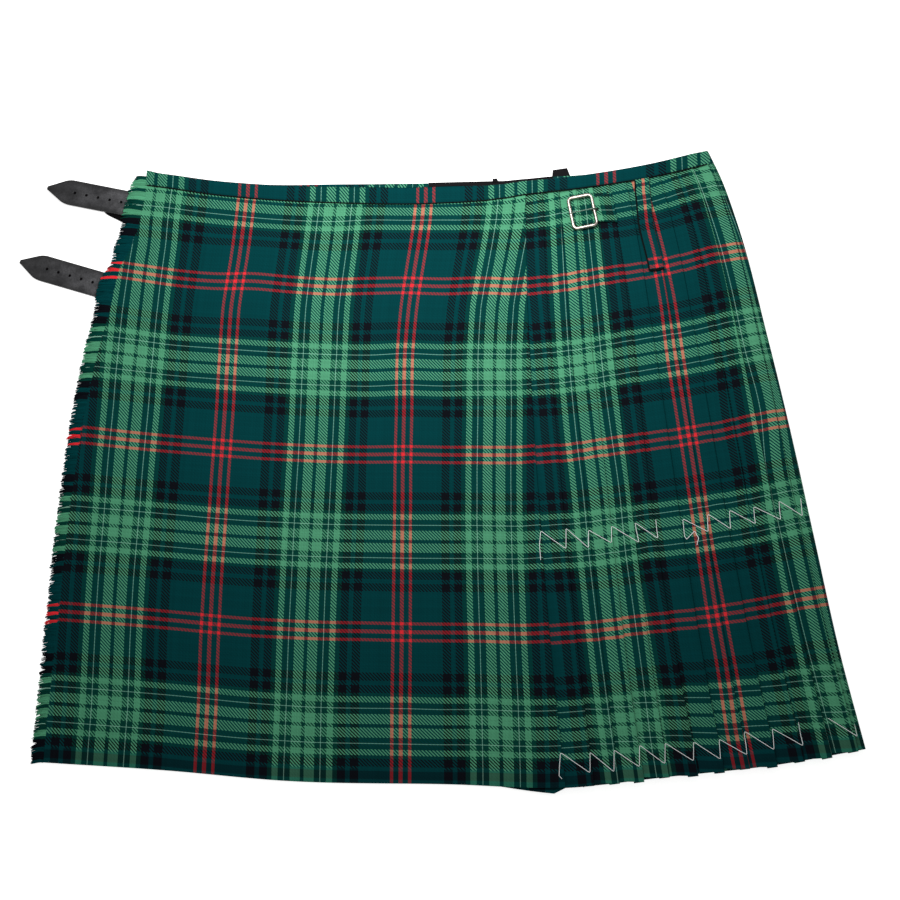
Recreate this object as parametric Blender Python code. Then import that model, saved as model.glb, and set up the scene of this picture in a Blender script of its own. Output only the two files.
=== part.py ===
"""Scottish kilt, buckled open and laid flat: waist towards +Y, hem towards -Y.

The over apron and half of the pleats lie on top.  The other half of the pleats
and the under apron lie beneath, outer face down.  The two halves meet in a
fold along the wearer's left side (+X).  All sizes are in millimetres and are
turned into metres where a vertex or an object is placed.
"""
import math

import bpy
import bmesh
import numpy as np

MM = 0.001

# ---------------------------------------------------------------- driving sizes

# Heavy worsted cloth: wall, and the air between two layers that touch.
WALL = 1.2
GAP = 0.3
LAYER = WALL + GAP

# Places across the kilt are counted in pleat widths from the over apron's
# folded edge: 0 to SIDE runs over the pleats, -APRON to 0 over the aprons.
APRON = 21.0
SIDE = 11.4
FOLDS = 11
BACK_FOLDS = 10
TUCK = 0.45

# Centre of the kilt's own drawing, moved to the middle of the finished box.
CENTRE_X = -25.22
CENTRE_Y = -4.96

# Top edge of the waist and lower edge of the hem.   x, y
WAIST_EDGE = [
    (-320, 299), (-259, 291), (-165, 283), (-90, 281), (0, 281),
    (97, 288), (150, 295), (209, 306), (270, 322),
]
HEM_EDGE = [
    (-381, -303), (-269, -310), (-150, -320), (0, -323), (107, -326),
    (205, -316), (307, -305), (388, -291),
]
# Edges that run from waist to hem.   part of the length, x
LEFT_EDGE = [
    (0.0, -312), (0.085, -327), (0.17, -337), (0.27, -349), (0.38, -360),
    (0.55, -370), (0.76, -376), (1.0, -381),
]
APRON_FOLD = [
    (0.0, 78), (0.20, 78), (0.34, 80.5), (0.60, 88), (0.80, 96), (1.0, 107),
]
SIDE_FOLD = [
    (0.0, 269), (0.05, 281), (0.13, 295), (0.33, 319), (0.50, 337),
    (0.66, 352), (0.86, 371), (1.0, 388),
]

# The bound waist is a strip as high as this part of the length.
SEAM_HEIGHT = 14.5
LENGTH = 603.0
SEAM = SEAM_HEIGHT / LENGTH
BAND_PROUD = 0.35
BACK_BAND_BULGE = 7.5
BACK_BAND_BULGE_MIDDLE = -15
BACK_BAND_BULGE_HALF = 165
# Rows from the seam to the hem, closer where the straps lift the apron's edge.
APRON_ROWS = [
    SEAM, 0.055, 0.09, 0.123, 0.16, 0.205, 0.25, 0.286, 0.36, 0.45, 0.55, 0.65, 0.75,
    0.84, 0.92, 1.0,
]
PLEAT_ROWS = [SEAM, 0.08, 0.16, 0.26, 0.37, 0.49, 0.62, 0.75, 0.88, 1.0]

# Where lines run down the aprons, and across the waist strip over the pleats.
APRON_PLACES = [
    -21.0, -20.3, -18.5, -17.0, -15.0, -12.5, -10.0, -7.5, -5.5, -4.2, -3.4, -2.6,
    -1.9, -1.4, -1.0, -TUCK, 0.0,
]
PLEAT_PLACES = [0.5 * step for step in range(1, 21)]

# The first pleat is deep: its layers reach this far under the over apron.
FIRST_TUCK = 2.6
APRON_RETURN = 1.5
FIRST_DROP = 6.5

# Fringe along the over apron's edge.
STRANDS = 228
STRAND_LENGTH = 9.6
BACKING_WIDTH = 1.2
STRAND_END_HEIGHT = 0.45
STRAND_END_THICK = 0.6
STRAND_LEAN = 1.5

# Leather straps.
STRAP_WIDTH = 27.5
STRAP_THICK = 2.0
STRAP_TIP = 23.0
HOLE_RADIUS = 1.5
HOLE_PITCH = 12.0
FIRST_HOLE = 29.0
HOLES = 5

# Buckle: a wire frame on the hip, held by a folded tab of the same cloth.
BUCKLE_X = 147.6
BUCKLE_Y = 252.0
BUCKLE_TURN = math.radians(10)
FRAME_WIDTH = 24.0
FRAME_HEIGHT = 34.0
FRAME_WIRE = 1.5
FRAME_CORNER = 4.0
PRONG_WIRE = 0.8
BAR_CLEARANCE = 0.35
TAB_LENGTH = 21.0
TAB_THICK = 2.4
TAB_NARROW = 24.0
TAB_WIDE = 34.0
TAB_WRAP = 0.95
TAB_SLOT = 5.2

# Belt loop below the waist band, and the two ribbon loops inside the back.
BELT_LOOP_WIDTH = 14.5
BELT_LOOP_PLACE = 6.95
BELT_LOOP_LEAN = -0.27
BELT_LOOP_START = SEAM + 0.0012
BELT_LOOP_LENGTH = 0.161
HANGER_LOOPS = [  # name, x, width, height
    ("hanger_loop_middle", 47.0, 6.0, 4.0),
    ("hanger_loop_side", 115.5, 17.0, 9.5),
]

# ---------------------------------------------------------------- heights

BACK_TOP = 2 * LAYER + WALL
FRONT_BASE = BACK_TOP + GAP
PLEAT_STEP = 2 * LAYER
PLEAT_TOP = FRONT_BASE + PLEAT_STEP * (1 + TUCK) + WALL
TURN_OUT = (LAYER + WALL) / 2
TURN_IN = GAP / 2
UNDER_STRAP_TOP = 1.8
UPPER_STRAP_BASE = UNDER_STRAP_TOP + GAP
BAR_HEIGHT = PLEAT_TOP + GAP + FRAME_WIRE + BAR_CLEARANCE + 2 * PRONG_WIRE + 0.1
FREE_BAR_HEIGHT = PLEAT_TOP + 0.4 + FRAME_WIRE

# Where the edge of the over apron lies on the straps.
#   first and last part of the length, extra height
STRAP_LIFTS = [(-0.05, 0.090, 2.95), (0.160, 0.250, 0.95)]
LIFT_FADE = 0.033

# ---------------------------------------------------------------- helpers


def smooth_through(rows, place):
    """Height of the smooth curve through a table's rows at one place."""
    knots, heights = np.array(rows, float).T
    slopes = np.gradient(heights, knots)
    place = np.clip(place, knots[0], knots[-1])
    i = np.clip(np.searchsorted(knots, place, side="right") - 1, 0, len(knots) - 2)
    width = knots[i + 1] - knots[i]
    u = (place - knots[i]) / width
    rise = heights[i + 1] - heights[i]
    bend_a = slopes[i] * width - rise
    bend_b = rise - slopes[i + 1] * width
    return heights[i] + u * rise + u * (1 - u) * ((1 - u) * bend_a + u * bend_b)


def ease(start, end, value):
    """0 before start, 1 after end, and a soft S between them."""
    u = np.clip((value - start) / (end - start), 0, 1)
    return u * u * (3 - 2 * u)


def across(place, down):
    """x of a line that lies `place` pleat widths from the apron's fold."""
    fold = smooth_through(APRON_FOLD, down)
    if place < 0:
        return fold + (fold - smooth_through(LEFT_EDGE, down)) * place / APRON
    return fold + (smooth_through(SIDE_FOLD, down) - fold) * place / SIDE


def along(place, down):
    """y of the same line, between the waist's edge and the hem's."""
    waist = smooth_through(WAIST_EDGE, across(place, 0.0))
    hem = smooth_through(HEM_EDGE, across(place, 1.0))
    return (1 - down) * waist + down * hem


def pleat_width(down):
    return (smooth_through(SIDE_FOLD, down) - smooth_through(APRON_FOLD, down)) / SIDE


def point(place, down, height, shift=0.0, drop=0.0):
    """A point of the cloth; shift moves it across, drop lowers its hem."""
    moved = place + shift / pleat_width(down)
    x = across(moved, down)
    y = along(moved, down) - drop * max(down, 0.0) ** 6
    return ((x - CENTRE_X) * MM, (y - CENTRE_Y) * MM, height * MM)


def material(name, colour, roughness, metallic=0.0):
    """A plain material with one Principled shader."""
    made = bpy.data.materials.get(name)
    if made is None:
        made = bpy.data.materials.new(name)
        made.use_nodes = True
        shader = made.node_tree.nodes["Principled BSDF"]
        shader.inputs["Base Color"].default_value = (*colour, 1.0)
        shader.inputs["Roughness"].default_value = roughness
        shader.inputs["Metallic"].default_value = metallic
    return made


def cloth_material(name):
    return material("tartan_" + name, (0.008, 0.08, 0.075), 0.85)


def leather_material(name):
    return material("leather_" + name, (0.016, 0.015, 0.018), 0.5)


def metal_material(name):
    return material("metal_" + name, (0.78, 0.75, 0.72), 0.25, 1.0)


def add_object(name, data, finish):
    """Puts a mesh or curve in the kilt's collection under its own name."""
    made = bpy.data.objects.new(name, data)
    kilt.objects.link(made)
    made.data.materials.append(finish)
    return made


def thick_sheet(name, outer, inner, finish):
    """One closed wall between two matching grids of points."""
    form = bmesh.new()
    top = [[form.verts.new(corner) for corner in line] for line in outer]
    under = [[form.verts.new(corner) for corner in line] for line in inner]
    lines = len(outer)
    rows = len(outer[0])
    for grid in (top, under):
        for i in range(lines - 1):
            for j in range(rows - 1):
                form.faces.new((grid[i][j], grid[i + 1][j], grid[i + 1][j + 1], grid[i][j + 1]))
    for j in (0, rows - 1):
        for i in range(lines - 1):
            form.faces.new((top[i][j], top[i + 1][j], under[i + 1][j], under[i][j]))
    for i in (0, lines - 1):
        for j in range(rows - 1):
            form.faces.new((top[i][j], top[i][j + 1], under[i][j + 1], under[i][j]))
    bmesh.ops.recalc_face_normals(form, faces=form.faces)
    mesh = bpy.data.meshes.new(name)
    form.to_mesh(mesh)
    form.free()
    return add_object(name, mesh, finish)


def panel(name, profile, finish, rows=PLEAT_ROWS):
    """A wall swept from waist to hem.  Each profile row holds
    place, outer shift and height, inner shift and height, hem drop, edge lift."""
    outer = []
    inner = []
    for place, out_x, out_z, in_x, in_z, drop, lifted in profile:
        lift = [strap_lift(place, down) * lifted for down in rows]
        outer.append([point(place, d, out_z + h, out_x, drop) for d, h in zip(rows, lift)])
        inner.append([point(place, d, in_z + h, in_x, drop) for d, h in zip(rows, lift)])
    return thick_sheet(name, outer, inner, finish)


# ---------------------------------------------------------------- heights of layers


def shoulder(place):
    """Height of the hidden pleats under the edge of the aprons."""
    return PLEAT_STEP * ease(-1.4, -0.12, place)


def strap_lift(place, down):
    """Extra height of the over apron's edge where it lies on the straps."""
    lift = 0.0
    for first, last, height in STRAP_LIFTS:
        rise = ease(first - LIFT_FADE, first, down) * (1 - ease(last, last + LIFT_FADE, down))
        lift += height * rise
    return lift * (1 - ease(-APRON + 1.0, -APRON + 4.0, place))


def apron_base(place):
    """Underside of the over apron: it rides on the first pleat's layers."""
    layers = 1 + ease(-FIRST_TUCK - 1.2, -FIRST_TUCK, place)
    layers += ease(-APRON_RETURN - 0.8, -APRON_RETURN, place)
    return shoulder(place) + LAYER * layers + PLEAT_STEP * max(0.0, place + TUCK)


def strip_base(fold, place):
    """Underside of the strip that ends in one fold of the front pleats."""
    start = fold - 1 - TUCK
    return shoulder(place) + LAYER + PLEAT_STEP * max(0.0, place - start)


def turn(place, height, side, outside_first):
    """Two profile rows round a fold: side is +1 to the right, -1 to the left."""
    rows = []
    for step in (1, -1):
        lean = math.sqrt(0.5)
        reach = (TURN_OUT, TURN_IN) if outside_first else (TURN_IN, TURN_OUT)
        rows.append((
            place,
            side * reach[0] * lean, height + step * reach[0] * lean,
            side * reach[1] * lean, height + step * reach[1] * lean,
        ))
    return rows


def flat_row(place, outer_height, inner_height, drop=0.0, lifted=0.0, shift=0.0):
    return (place, shift, outer_height, shift, inner_height, drop, lifted)


# ---------------------------------------------------------------- cloth pieces


def over_apron():
    """Flat panel with a fringed edge; its other edge is folded under."""
    profile = []
    for place in APRON_PLACES:
        base = apron_base(place)
        profile.append(flat_row(place, base + WALL, base, lifted=1.0))
    middle = apron_base(0.0) + WALL / 2 - LAYER / 2
    profile += [row + (0.0, 0.0) for row in turn(0.0, middle, 1, True)]
    for place in (0.0, -TUCK, -1.0, -APRON_RETURN):
        base = shoulder(place) + 2 * LAYER + PLEAT_STEP * max(0.0, place + TUCK)
        profile.append(flat_row(place, base, base + WALL))
    return panel("over_apron", profile, cloth_material("over_apron"), APRON_ROWS)


def front_pleats():
    """Knife pleats that overlap like shingles, then turn round the side."""
    profile = []
    for place in (-FIRST_TUCK, -1.9, -1.4, -0.9, -TUCK):
        base = strip_base(1, place)
        drop = FIRST_DROP * (1 + place / FIRST_TUCK)
        profile.append(flat_row(place, base + WALL, base, drop))
    for fold in range(1, FOLDS + 1):
        base = strip_base(fold, fold)
        profile.append(flat_row(fold, base + WALL, base))
        middle = strip_base(fold, fold) + WALL / 2 - LAYER / 2
        profile += [row + (0.0, 0.0) for row in turn(fold, middle, 1, True)]
        for place in (fold, fold - TUCK):
            base = strip_base(fold, place) - LAYER
            profile.append(flat_row(place, base, base + WALL))
        middle = strip_base(fold, fold - TUCK) - LAYER + WALL / 2 - LAYER / 2
        profile += [row + (0.0, 0.0) for row in turn(fold - TUCK, middle, -1, False)]
        base = strip_base(fold + 1, fold - TUCK)
        profile.append(flat_row(fold - TUCK, base + WALL, base))
    return panel("front_pleats", profile + side_turn(), cloth_material("front_pleats"))


def side_turn():
    """The last strip goes round the side and a little way under."""
    top = strip_base(FOLDS + 1, SIDE) + WALL
    radius = top / 2
    rows = []
    steps = 6
    for step in range(steps + 1):
        angle = math.pi * (0.5 - step / steps)
        out = (radius * math.cos(angle) - radius, radius + radius * math.sin(angle))
        within = radius - WALL
        tucked = (within * math.cos(angle) - radius, radius + within * math.sin(angle))
        rows.append((SIDE, *out, *tucked, 0.0, 0.0))
    end = flat_row(SIDE, 0.0, WALL, shift=-radius - 2.0)
    return rows + [end]


def back_pleats():
    """The hidden half of the pleats: flat outer faces on the table."""
    radius = (strip_base(FOLDS + 1, SIDE) + WALL) / 2
    profile = [flat_row(SIDE, 0.0, WALL, shift=-radius - 2.0 - GAP)]
    for fold in range(BACK_FOLDS, -1, -1):
        profile.append(flat_row(fold, 0.0, WALL))
        around = turn(fold, TURN_OUT, -1, True)
        profile += [row + (0.0, 0.0) for row in reversed(around)]
        profile.append(flat_row(fold, LAYER + WALL, LAYER))
        profile.append(flat_row(fold + TUCK, LAYER + WALL, LAYER))
        if fold == 0:
            break
        around = turn(fold + TUCK, TURN_OUT + LAYER, 1, False)
        profile += [row + (0.0, 0.0) for row in reversed(around)]
        profile.append(flat_row(fold + TUCK, 2 * LAYER, 2 * LAYER + WALL))
        profile.append(flat_row(fold - 0.12, 2 * LAYER, 2 * LAYER + WALL))
        profile.append(flat_row(fold - 0.41, 0.0, WALL))
    return panel("back_pleats", profile, cloth_material("back_pleats"))


def under_apron():
    """Flat panel that lies on the table; its edge rises on the last pleat."""
    places = [TUCK, -0.1] + [p for p in reversed(APRON_PLACES) if -APRON < p < 0.0]
    profile = [flat_row(p, shoulder(p), shoulder(p) + WALL) for p in places]
    return panel("under_apron", profile, cloth_material("under_apron"))


def band_rows(top, base, lift):
    """Rows of a bound edge, round at its upper side: down, top and base height."""
    down = SEAM - GAP / LENGTH
    levels = [
        (0.0, top - 0.9, base + 0.9), (0.07, top - 0.15, base + 0.15), (0.3, top, base),
        (0.8, top, base), (1.0, top - 0.25, base),
    ]
    return [(down * part, high + lift, low + lift) for part, high, low in levels]


def front_waistband():
    """Bound strip along the top; it also closes the side, down to the table."""
    outer = []
    inner = []
    for place in APRON_PLACES + PLEAT_PLACES:
        top = min(apron_base(place) + WALL, PLEAT_TOP) + BAND_PROUD
        base = shoulder(place) + LAYER
        rows = band_rows(top, base, strap_lift(place, 0.05))
        outer.append([point(place, down, high) for down, high, low in rows])
        inner.append([point(place, down, low) for down, high, low in rows])
    side_top = strip_base(FOLDS + 1, SIDE) + WALL + BAND_PROUD
    ends = [  # place, shift, top, base
        (10.95, 0.0, side_top + 1.2, FRONT_BASE), (10.95, 0.4, side_top + 1.1, 0.0),
        (SIDE, -4.0, side_top, 0.0), (SIDE, -1.8, side_top - 0.7, 0.6),
        (SIDE, -0.5, side_top - 2.0, 1.9), (SIDE, 0.0, side_top - 3.4, 3.3),
    ]
    for place, shift, top, base in ends:
        rows = band_rows(top, base, 0.0)
        outer.append([point(place, down, high, shift) for down, high, low in rows])
        inner.append([point(place, down, low, shift) for down, high, low in rows])
    return thick_sheet("front_waistband", outer, inner, cloth_material("front_waistband"))


def back_bulge(place):
    """How far the back of the waist stands above the front's edge."""
    off = (across(place, 0.0) - BACK_BAND_BULGE_MIDDLE) / BACK_BAND_BULGE_HALF
    return BACK_BAND_BULGE * (1 - ease(0.0, 1.0, abs(off)))


def back_waistband():
    """Bound strip of the hidden half; it shows above the front in the middle."""
    places = APRON_PLACES[1:-1] + [-0.1] + PLEAT_PLACES + [10.9]
    outer = []
    inner = []
    for place in places:
        shift = -GAP if place == places[-1] else 0.0
        top = shoulder(place) + WALL
        extra = back_bulge(place) / LENGTH
        depth = SEAM - GAP / LENGTH
        corner = 0.35
        levels = [(-extra, top - corner, corner), (-extra + 0.002, top, 0.0), (depth, top, 0.0)]
        outer.append([point(place, down, low, shift) for down, high, low in levels])
        inner.append([point(place, down, high, shift) for down, high, low in levels])
    return thick_sheet("back_waistband", outer, inner, cloth_material("back_waistband"))


def fringe():
    """A narrow backing with a row of loose thread ends fused into it."""
    form = bmesh.new()
    cells = 2 * STRANDS + 1
    first = SEAM * 0.35
    lines = []
    for i in range(cells + 1):
        down = first + (1.0 - first) * i / cells
        base = apron_base(-APRON) + strap_lift(-APRON, down)
        edges = []
        for shift in (-GAP, -GAP - BACKING_WIDTH):
            for height in (base, base + WALL):
                edges.append(form.verts.new(point(-APRON, down, height, shift)))
        lines.append(edges)
    for end in (lines[0], lines[-1]):
        form.faces.new((end[0], end[1], end[3], end[2]))
    for i in range(cells):
        near, far = lines[i], lines[i + 1]
        form.faces.new((near[0], near[1], far[1], far[0]))
        form.faces.new((near[1], near[3], far[3], far[1]))
        form.faces.new((near[0], near[2], far[2], far[0]))
        cell = (near[2], near[3], far[3], far[2])
        if i % 2:
            strand(form, cell, first + (1.0 - first) * i / cells, i)
        else:
            form.faces.new(cell)
    bmesh.ops.recalc_face_normals(form, faces=form.faces)
    mesh = bpy.data.meshes.new("fringe")
    form.to_mesh(mesh)
    form.free()
    return add_object("fringe", mesh, cloth_material("fringe"))


def strand(form, root, down, count):
    """One thread end: it leans a little and droops towards the table."""
    wander = 0.6 * math.sin(count * 2.4)
    length = STRAND_LENGTH + 0.9 * math.sin(count * 1.7) + 0.6 * math.sin(count * 0.61)
    held = min(1.0, strap_lift(-APRON, down) / 0.9)
    base = apron_base(-APRON) + strap_lift(-APRON, down)
    end_height = held * (base + 0.1) + (1 - held) * STRAND_END_HEIGHT
    middle = (root[0].co + root[1].co + root[2].co + root[3].co) / 4
    tip = []
    for corner in root:
        x = middle.x - length * MM + (corner.co.x - middle.x) * 0.6
        y = middle.y + (STRAND_LEAN + wander) * MM + (corner.co.y - middle.y) * 0.7
        height = end_height
        if corner.co.z > middle.z:
            height += STRAND_END_THICK
        tip.append(form.verts.new((x, y, height * MM)))
    form.faces.new(tip)
    for i in range(4):
        j = (i + 1) % 4
        form.faces.new((root[i], root[j], tip[j], tip[i]))


def belt_loop():
    """Strip of the cloth below the waist band, sewn at both ends, slack between."""
    rows = 8
    outer = []
    inner = []
    half = BELT_LOOP_WIDTH / 2
    for side in (-half, 0.0, half):
        high = []
        low = []
        for i in range(rows + 1):
            part = i / rows
            down = BELT_LOOP_START + BELT_LOOP_LENGTH * part
            place = BELT_LOOP_PLACE + BELT_LOOP_LEAN * ease(0.0, 0.55, part)
            slack = 1.6 * math.sin(math.pi * part) ** 2
            base = PLEAT_TOP + GAP + slack
            low.append(point(place, down, base, side))
            high.append(point(place, down, base + WALL, side))
        outer.append(high)
        inner.append(low)
    return thick_sheet("belt_loop", outer, inner, cloth_material("belt_loop"))


def hanger_loop(name, x, width, height):
    """Doubled ribbon that stands out past the back waistband's edge."""
    from_fold = x - smooth_through(APRON_FOLD, 0.0)
    place = from_fold / pleat_width(0.0)
    if place < 0:
        place = from_fold * APRON / (x - from_fold - smooth_through(LEFT_EDGE, 0.0))
    start = along(place, 0.0) + back_bulge(place) + GAP
    outline = [  # part of the width, part of the height
        (-0.5, 0.0), (-0.42, 0.55), (-0.3, 0.9), (0.1, 1.0), (0.36, 0.8), (0.5, 0.0),
    ]
    curve = bpy.data.curves.new(name, "CURVE")
    curve.dimensions = "2D"
    curve.fill_mode = "BOTH"
    curve.extrude = 0.75 * MM
    spline = curve.splines.new("POLY")
    spline.points.add(len(outline) - 1)
    for end, (part_x, part_y) in zip(spline.points, outline):
        end.co = (part_x * width * MM, part_y * height * MM, 0.0, 1.0)
    spline.use_cyclic_u = True
    loop = add_object(name, curve, material("ribbon_" + name, (0.012, 0.012, 0.014), 0.7))
    slope = (along(place + 0.5, 0.0) - along(place - 0.5, 0.0))
    slope /= across(place + 0.5, 0.0) - across(place - 0.5, 0.0)
    loop.location = ((x - CENTRE_X) * MM, (start + 0.2 - CENTRE_Y) * MM, 2.4 * MM)
    loop.rotation_euler = (0.0, 0.0, math.atan(slope))
    return loop


# ---------------------------------------------------------------- leather


def strap(name, tip_x, tip_y, turn_deg, length, base, thick, holes=HOLES):
    """Flat leather strap: pointed end, row of punched holes, square root.
    Its own x runs from the point to the root."""
    curve = bpy.data.curves.new(name, "CURVE")
    curve.dimensions = "2D"
    curve.fill_mode = "BOTH"
    curve.extrude = thick / 2 * MM
    half = STRAP_WIDTH / 2
    outline = [
        (0.0, 1.6), (0.6, 2.6), (STRAP_TIP - 4.0, half - 1.2), (STRAP_TIP, half),
        (length, half), (length, -half), (STRAP_TIP, -half),
        (STRAP_TIP - 4.0, -half + 1.2), (0.6, -2.6), (0.0, -1.6),
    ]
    add_ring(curve, outline)
    for i in range(holes):
        centre = FIRST_HOLE + HOLE_PITCH * i
        ring = []
        for step in range(10):
            angle = 2 * math.pi * step / 10
            ring.append((centre + HOLE_RADIUS * math.cos(angle), HOLE_RADIUS * math.sin(angle)))
        add_ring(curve, ring)
    made = add_object(name, curve, leather_material(name))
    made.location = ((tip_x - CENTRE_X) * MM, (tip_y - CENTRE_Y) * MM, (base + thick / 2) * MM)
    made.rotation_euler = (0.0, 0.0, math.radians(turn_deg))
    return made


def add_ring(curve, outline):
    """One closed run of straight lines in a flat curve."""
    spline = curve.splines.new("POLY")
    spline.points.add(len(outline) - 1)
    for end, (x, y) in zip(spline.points, outline):
        end.co = (x * MM, y * MM, 0.0, 1.0)
    spline.use_cyclic_u = True


# ---------------------------------------------------------------- buckle


def buckle_pivot():
    """Empty on the heel bar: its own y runs along the bar."""
    pivot = bpy.data.objects.new("buckle_pivot", None)
    kilt.objects.link(pivot)
    pivot.location = ((BUCKLE_X - CENTRE_X) * MM, (BUCKLE_Y - CENTRE_Y) * MM, BAR_HEIGHT * MM)
    pivot.rotation_euler = (0.0, 0.0, BUCKLE_TURN)
    return pivot


def wire(name, route, radius, closed, sides):
    """A round wire along a chosen route."""
    curve = bpy.data.curves.new(name, "CURVE")
    curve.dimensions = "3D"
    curve.bevel_depth = radius * MM
    curve.bevel_resolution = sides
    curve.use_fill_caps = not closed
    spline = curve.splines.new("POLY")
    spline.points.add(len(route) - 1)
    for end, place in zip(spline.points, route):
        end.co = (*(value * MM for value in place), 1.0)
    spline.use_cyclic_u = closed
    return add_object(name, curve, metal_material(name))


def buckle_frame(pivot):
    """Rectangular wire frame: the heel bar lies on the pivot's y axis."""
    sink = (BAR_HEIGHT - FREE_BAR_HEIGHT) / FRAME_WIDTH
    half = FRAME_HEIGHT / 2
    near = -FRAME_CORNER
    far = FRAME_CORNER - FRAME_WIDTH
    reach = half - FRAME_CORNER
    route = []
    for quarter, (x, y) in enumerate([(near, reach), (far, reach), (far, -reach), (near, -reach)]):
        for step in range(5):
            angle = math.radians(90.0 * (quarter + step / 4))
            place = x + FRAME_CORNER * math.cos(angle)
            route.append((place, y + FRAME_CORNER * math.sin(angle), place * sink))
    frame = wire("buckle_frame", route, FRAME_WIRE, True, 2)
    frame.parent = pivot
    return frame


def buckle_prong(pivot):
    """Wire hooked round the heel bar; its point rests on the free bar."""
    reach = FRAME_WIRE + BAR_CLEARANCE + PRONG_WIRE
    route = []
    for step in range(11):
        angle = math.radians(-190 + 28 * step)
        route.append((reach * math.cos(angle), 0.0, reach * math.sin(angle)))
    tip_height = FREE_BAR_HEIGHT + FRAME_WIRE + PRONG_WIRE + GAP - BAR_HEIGHT
    route.append((-FRAME_WIDTH * 0.4, 0.0, reach * 0.62 + tip_height * 0.38))
    route.append((-FRAME_WIDTH - 1.6, 0.0, tip_height))
    prong = wire("buckle_prong", route, PRONG_WIRE, False, 2)
    prong.parent = pivot
    return prong


def buckle_tab(pivot):
    """Folded tab: a flat double ply with an eye for the heel bar at one end."""
    form = bmesh.new()
    bmesh.ops.create_cube(form, size=1.0)
    foot = PLEAT_TOP + GAP - BAR_HEIGHT
    for corner in form.verts:
        far = corner.co.x > 0
        wide = TAB_WIDE if far else TAB_NARROW
        corner.co.x = TAB_LENGTH if far else 0.0
        corner.co.y *= wide
        corner.co.z = foot + (TAB_THICK if corner.co.z > 0 else 0.0)
        corner.co *= MM
    mesh = bpy.data.meshes.new("buckle_tab")
    form.to_mesh(mesh)
    form.free()
    tab = add_object("buckle_tab", mesh, cloth_material("buckle_tab"))
    tab.parent = pivot
    eye = FRAME_WIRE + BAR_CLEARANCE + 0.1
    add_cut(tab, "UNION", rod("tab_roll", eye + TAB_WRAP, TAB_NARROW, pivot))
    neck = block("tab_neck", (0.0, 0.0, foot + 2.2), (2 * eye, TAB_NARROW, 2.6), pivot)
    add_cut(tab, "UNION", neck)
    add_cut(tab, "DIFFERENCE", rod("tab_eye", eye, TAB_NARROW + 4, pivot))
    slot_length = 2 * (FRAME_WIRE + BAR_CLEARANCE + 2 * PRONG_WIRE + 0.9)
    slot = block("tab_slot", (0.0, 0.0, 0.0), (slot_length, TAB_SLOT, 12.0), pivot)
    add_cut(tab, "DIFFERENCE", slot)
    return tab


def rod(name, radius, length, pivot):
    """Cylinder along the heel bar, for cutting or joining."""
    bpy.ops.mesh.primitive_cylinder_add(vertices=20, radius=radius * MM, depth=length * MM)
    made = bpy.context.object
    made.rotation_euler = (math.pi / 2, 0.0, 0.0)
    return as_cutter(made, name, pivot)


def block(name, centre, size, pivot):
    """Box beside the heel bar, for cutting or joining."""
    bpy.ops.mesh.primitive_cube_add(size=1.0)
    made = bpy.context.object
    made.location = tuple(value * MM for value in centre)
    made.scale = tuple(value * MM for value in size)
    return as_cutter(made, name, pivot)


def as_cutter(made, name, pivot):
    """Moves a helper solid to the cutters' collection and hides it."""
    made.name = name
    made.parent = pivot
    for group in list(made.users_collection):
        group.objects.unlink(made)
    cutters.objects.link(made)
    made.hide_render = True
    made.display_type = "WIRE"
    return made


def add_cut(target, operation, tool):
    cut = target.modifiers.new(tool.name, "BOOLEAN")
    cut.operation = operation
    cut.object = tool


# ---------------------------------------------------------------- assembly

for leftover in list(bpy.data.objects):
    bpy.data.objects.remove(leftover, do_unlink=True)
kilt = bpy.data.collections.new("scottish_kilt")
cutters = bpy.data.collections.new("cutters")
bpy.context.scene.collection.children.link(kilt)
bpy.context.scene.collection.children.link(cutters)

over_apron()
under_apron()
front_pleats()
back_pleats()
front_waistband()
back_waistband()
fringe()
belt_loop()
for loop_name, loop_x, loop_width, loop_height in HANGER_LOOPS:
    hanger_loop(loop_name, loop_x, loop_width, loop_height)
strap("strap_upper", -417.0, 279.5, -11.6, 100.0, UPPER_STRAP_BASE, STRAP_THICK)
strap("strap_lower", -438.0, 197.5, -16.2, 111.0, 0.0, STRAP_THICK)
strap("strap_under", -383.0, 279.3, -25.0, 55.0, 0.0, UNDER_STRAP_TOP, holes=0)
heel = buckle_pivot()
buckle_frame(heel)
buckle_prong(heel)
buckle_tab(heel)
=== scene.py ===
import math

import bpy
import numpy as np
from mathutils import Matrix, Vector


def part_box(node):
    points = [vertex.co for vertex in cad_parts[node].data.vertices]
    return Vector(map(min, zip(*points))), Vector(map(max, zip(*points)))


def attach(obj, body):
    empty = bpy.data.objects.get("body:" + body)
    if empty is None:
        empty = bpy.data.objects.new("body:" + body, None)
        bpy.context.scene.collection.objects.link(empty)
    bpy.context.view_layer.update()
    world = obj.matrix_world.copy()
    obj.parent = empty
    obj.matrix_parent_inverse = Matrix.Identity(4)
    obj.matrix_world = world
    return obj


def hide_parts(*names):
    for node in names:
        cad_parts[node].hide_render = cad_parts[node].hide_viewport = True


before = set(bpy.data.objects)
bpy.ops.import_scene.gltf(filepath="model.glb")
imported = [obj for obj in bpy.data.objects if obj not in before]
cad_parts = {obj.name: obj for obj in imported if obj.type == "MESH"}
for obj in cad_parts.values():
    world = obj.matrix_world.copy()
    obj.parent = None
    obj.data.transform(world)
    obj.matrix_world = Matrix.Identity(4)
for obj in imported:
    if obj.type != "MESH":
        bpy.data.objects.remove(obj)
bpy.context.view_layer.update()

# ---------- under apron
# The inner end of the long strip that a kilt is made from: heavy worsted wool in a 2/2
# twill, woven in a check.  It lies flat on the table, outer face down.

MM = 0.001
# mm from the frame's origin to the middle of the waist's table, which all rows count from.
CENTRE = np.array([25.22, 4.96, 0])
LENGTH = 603
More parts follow.
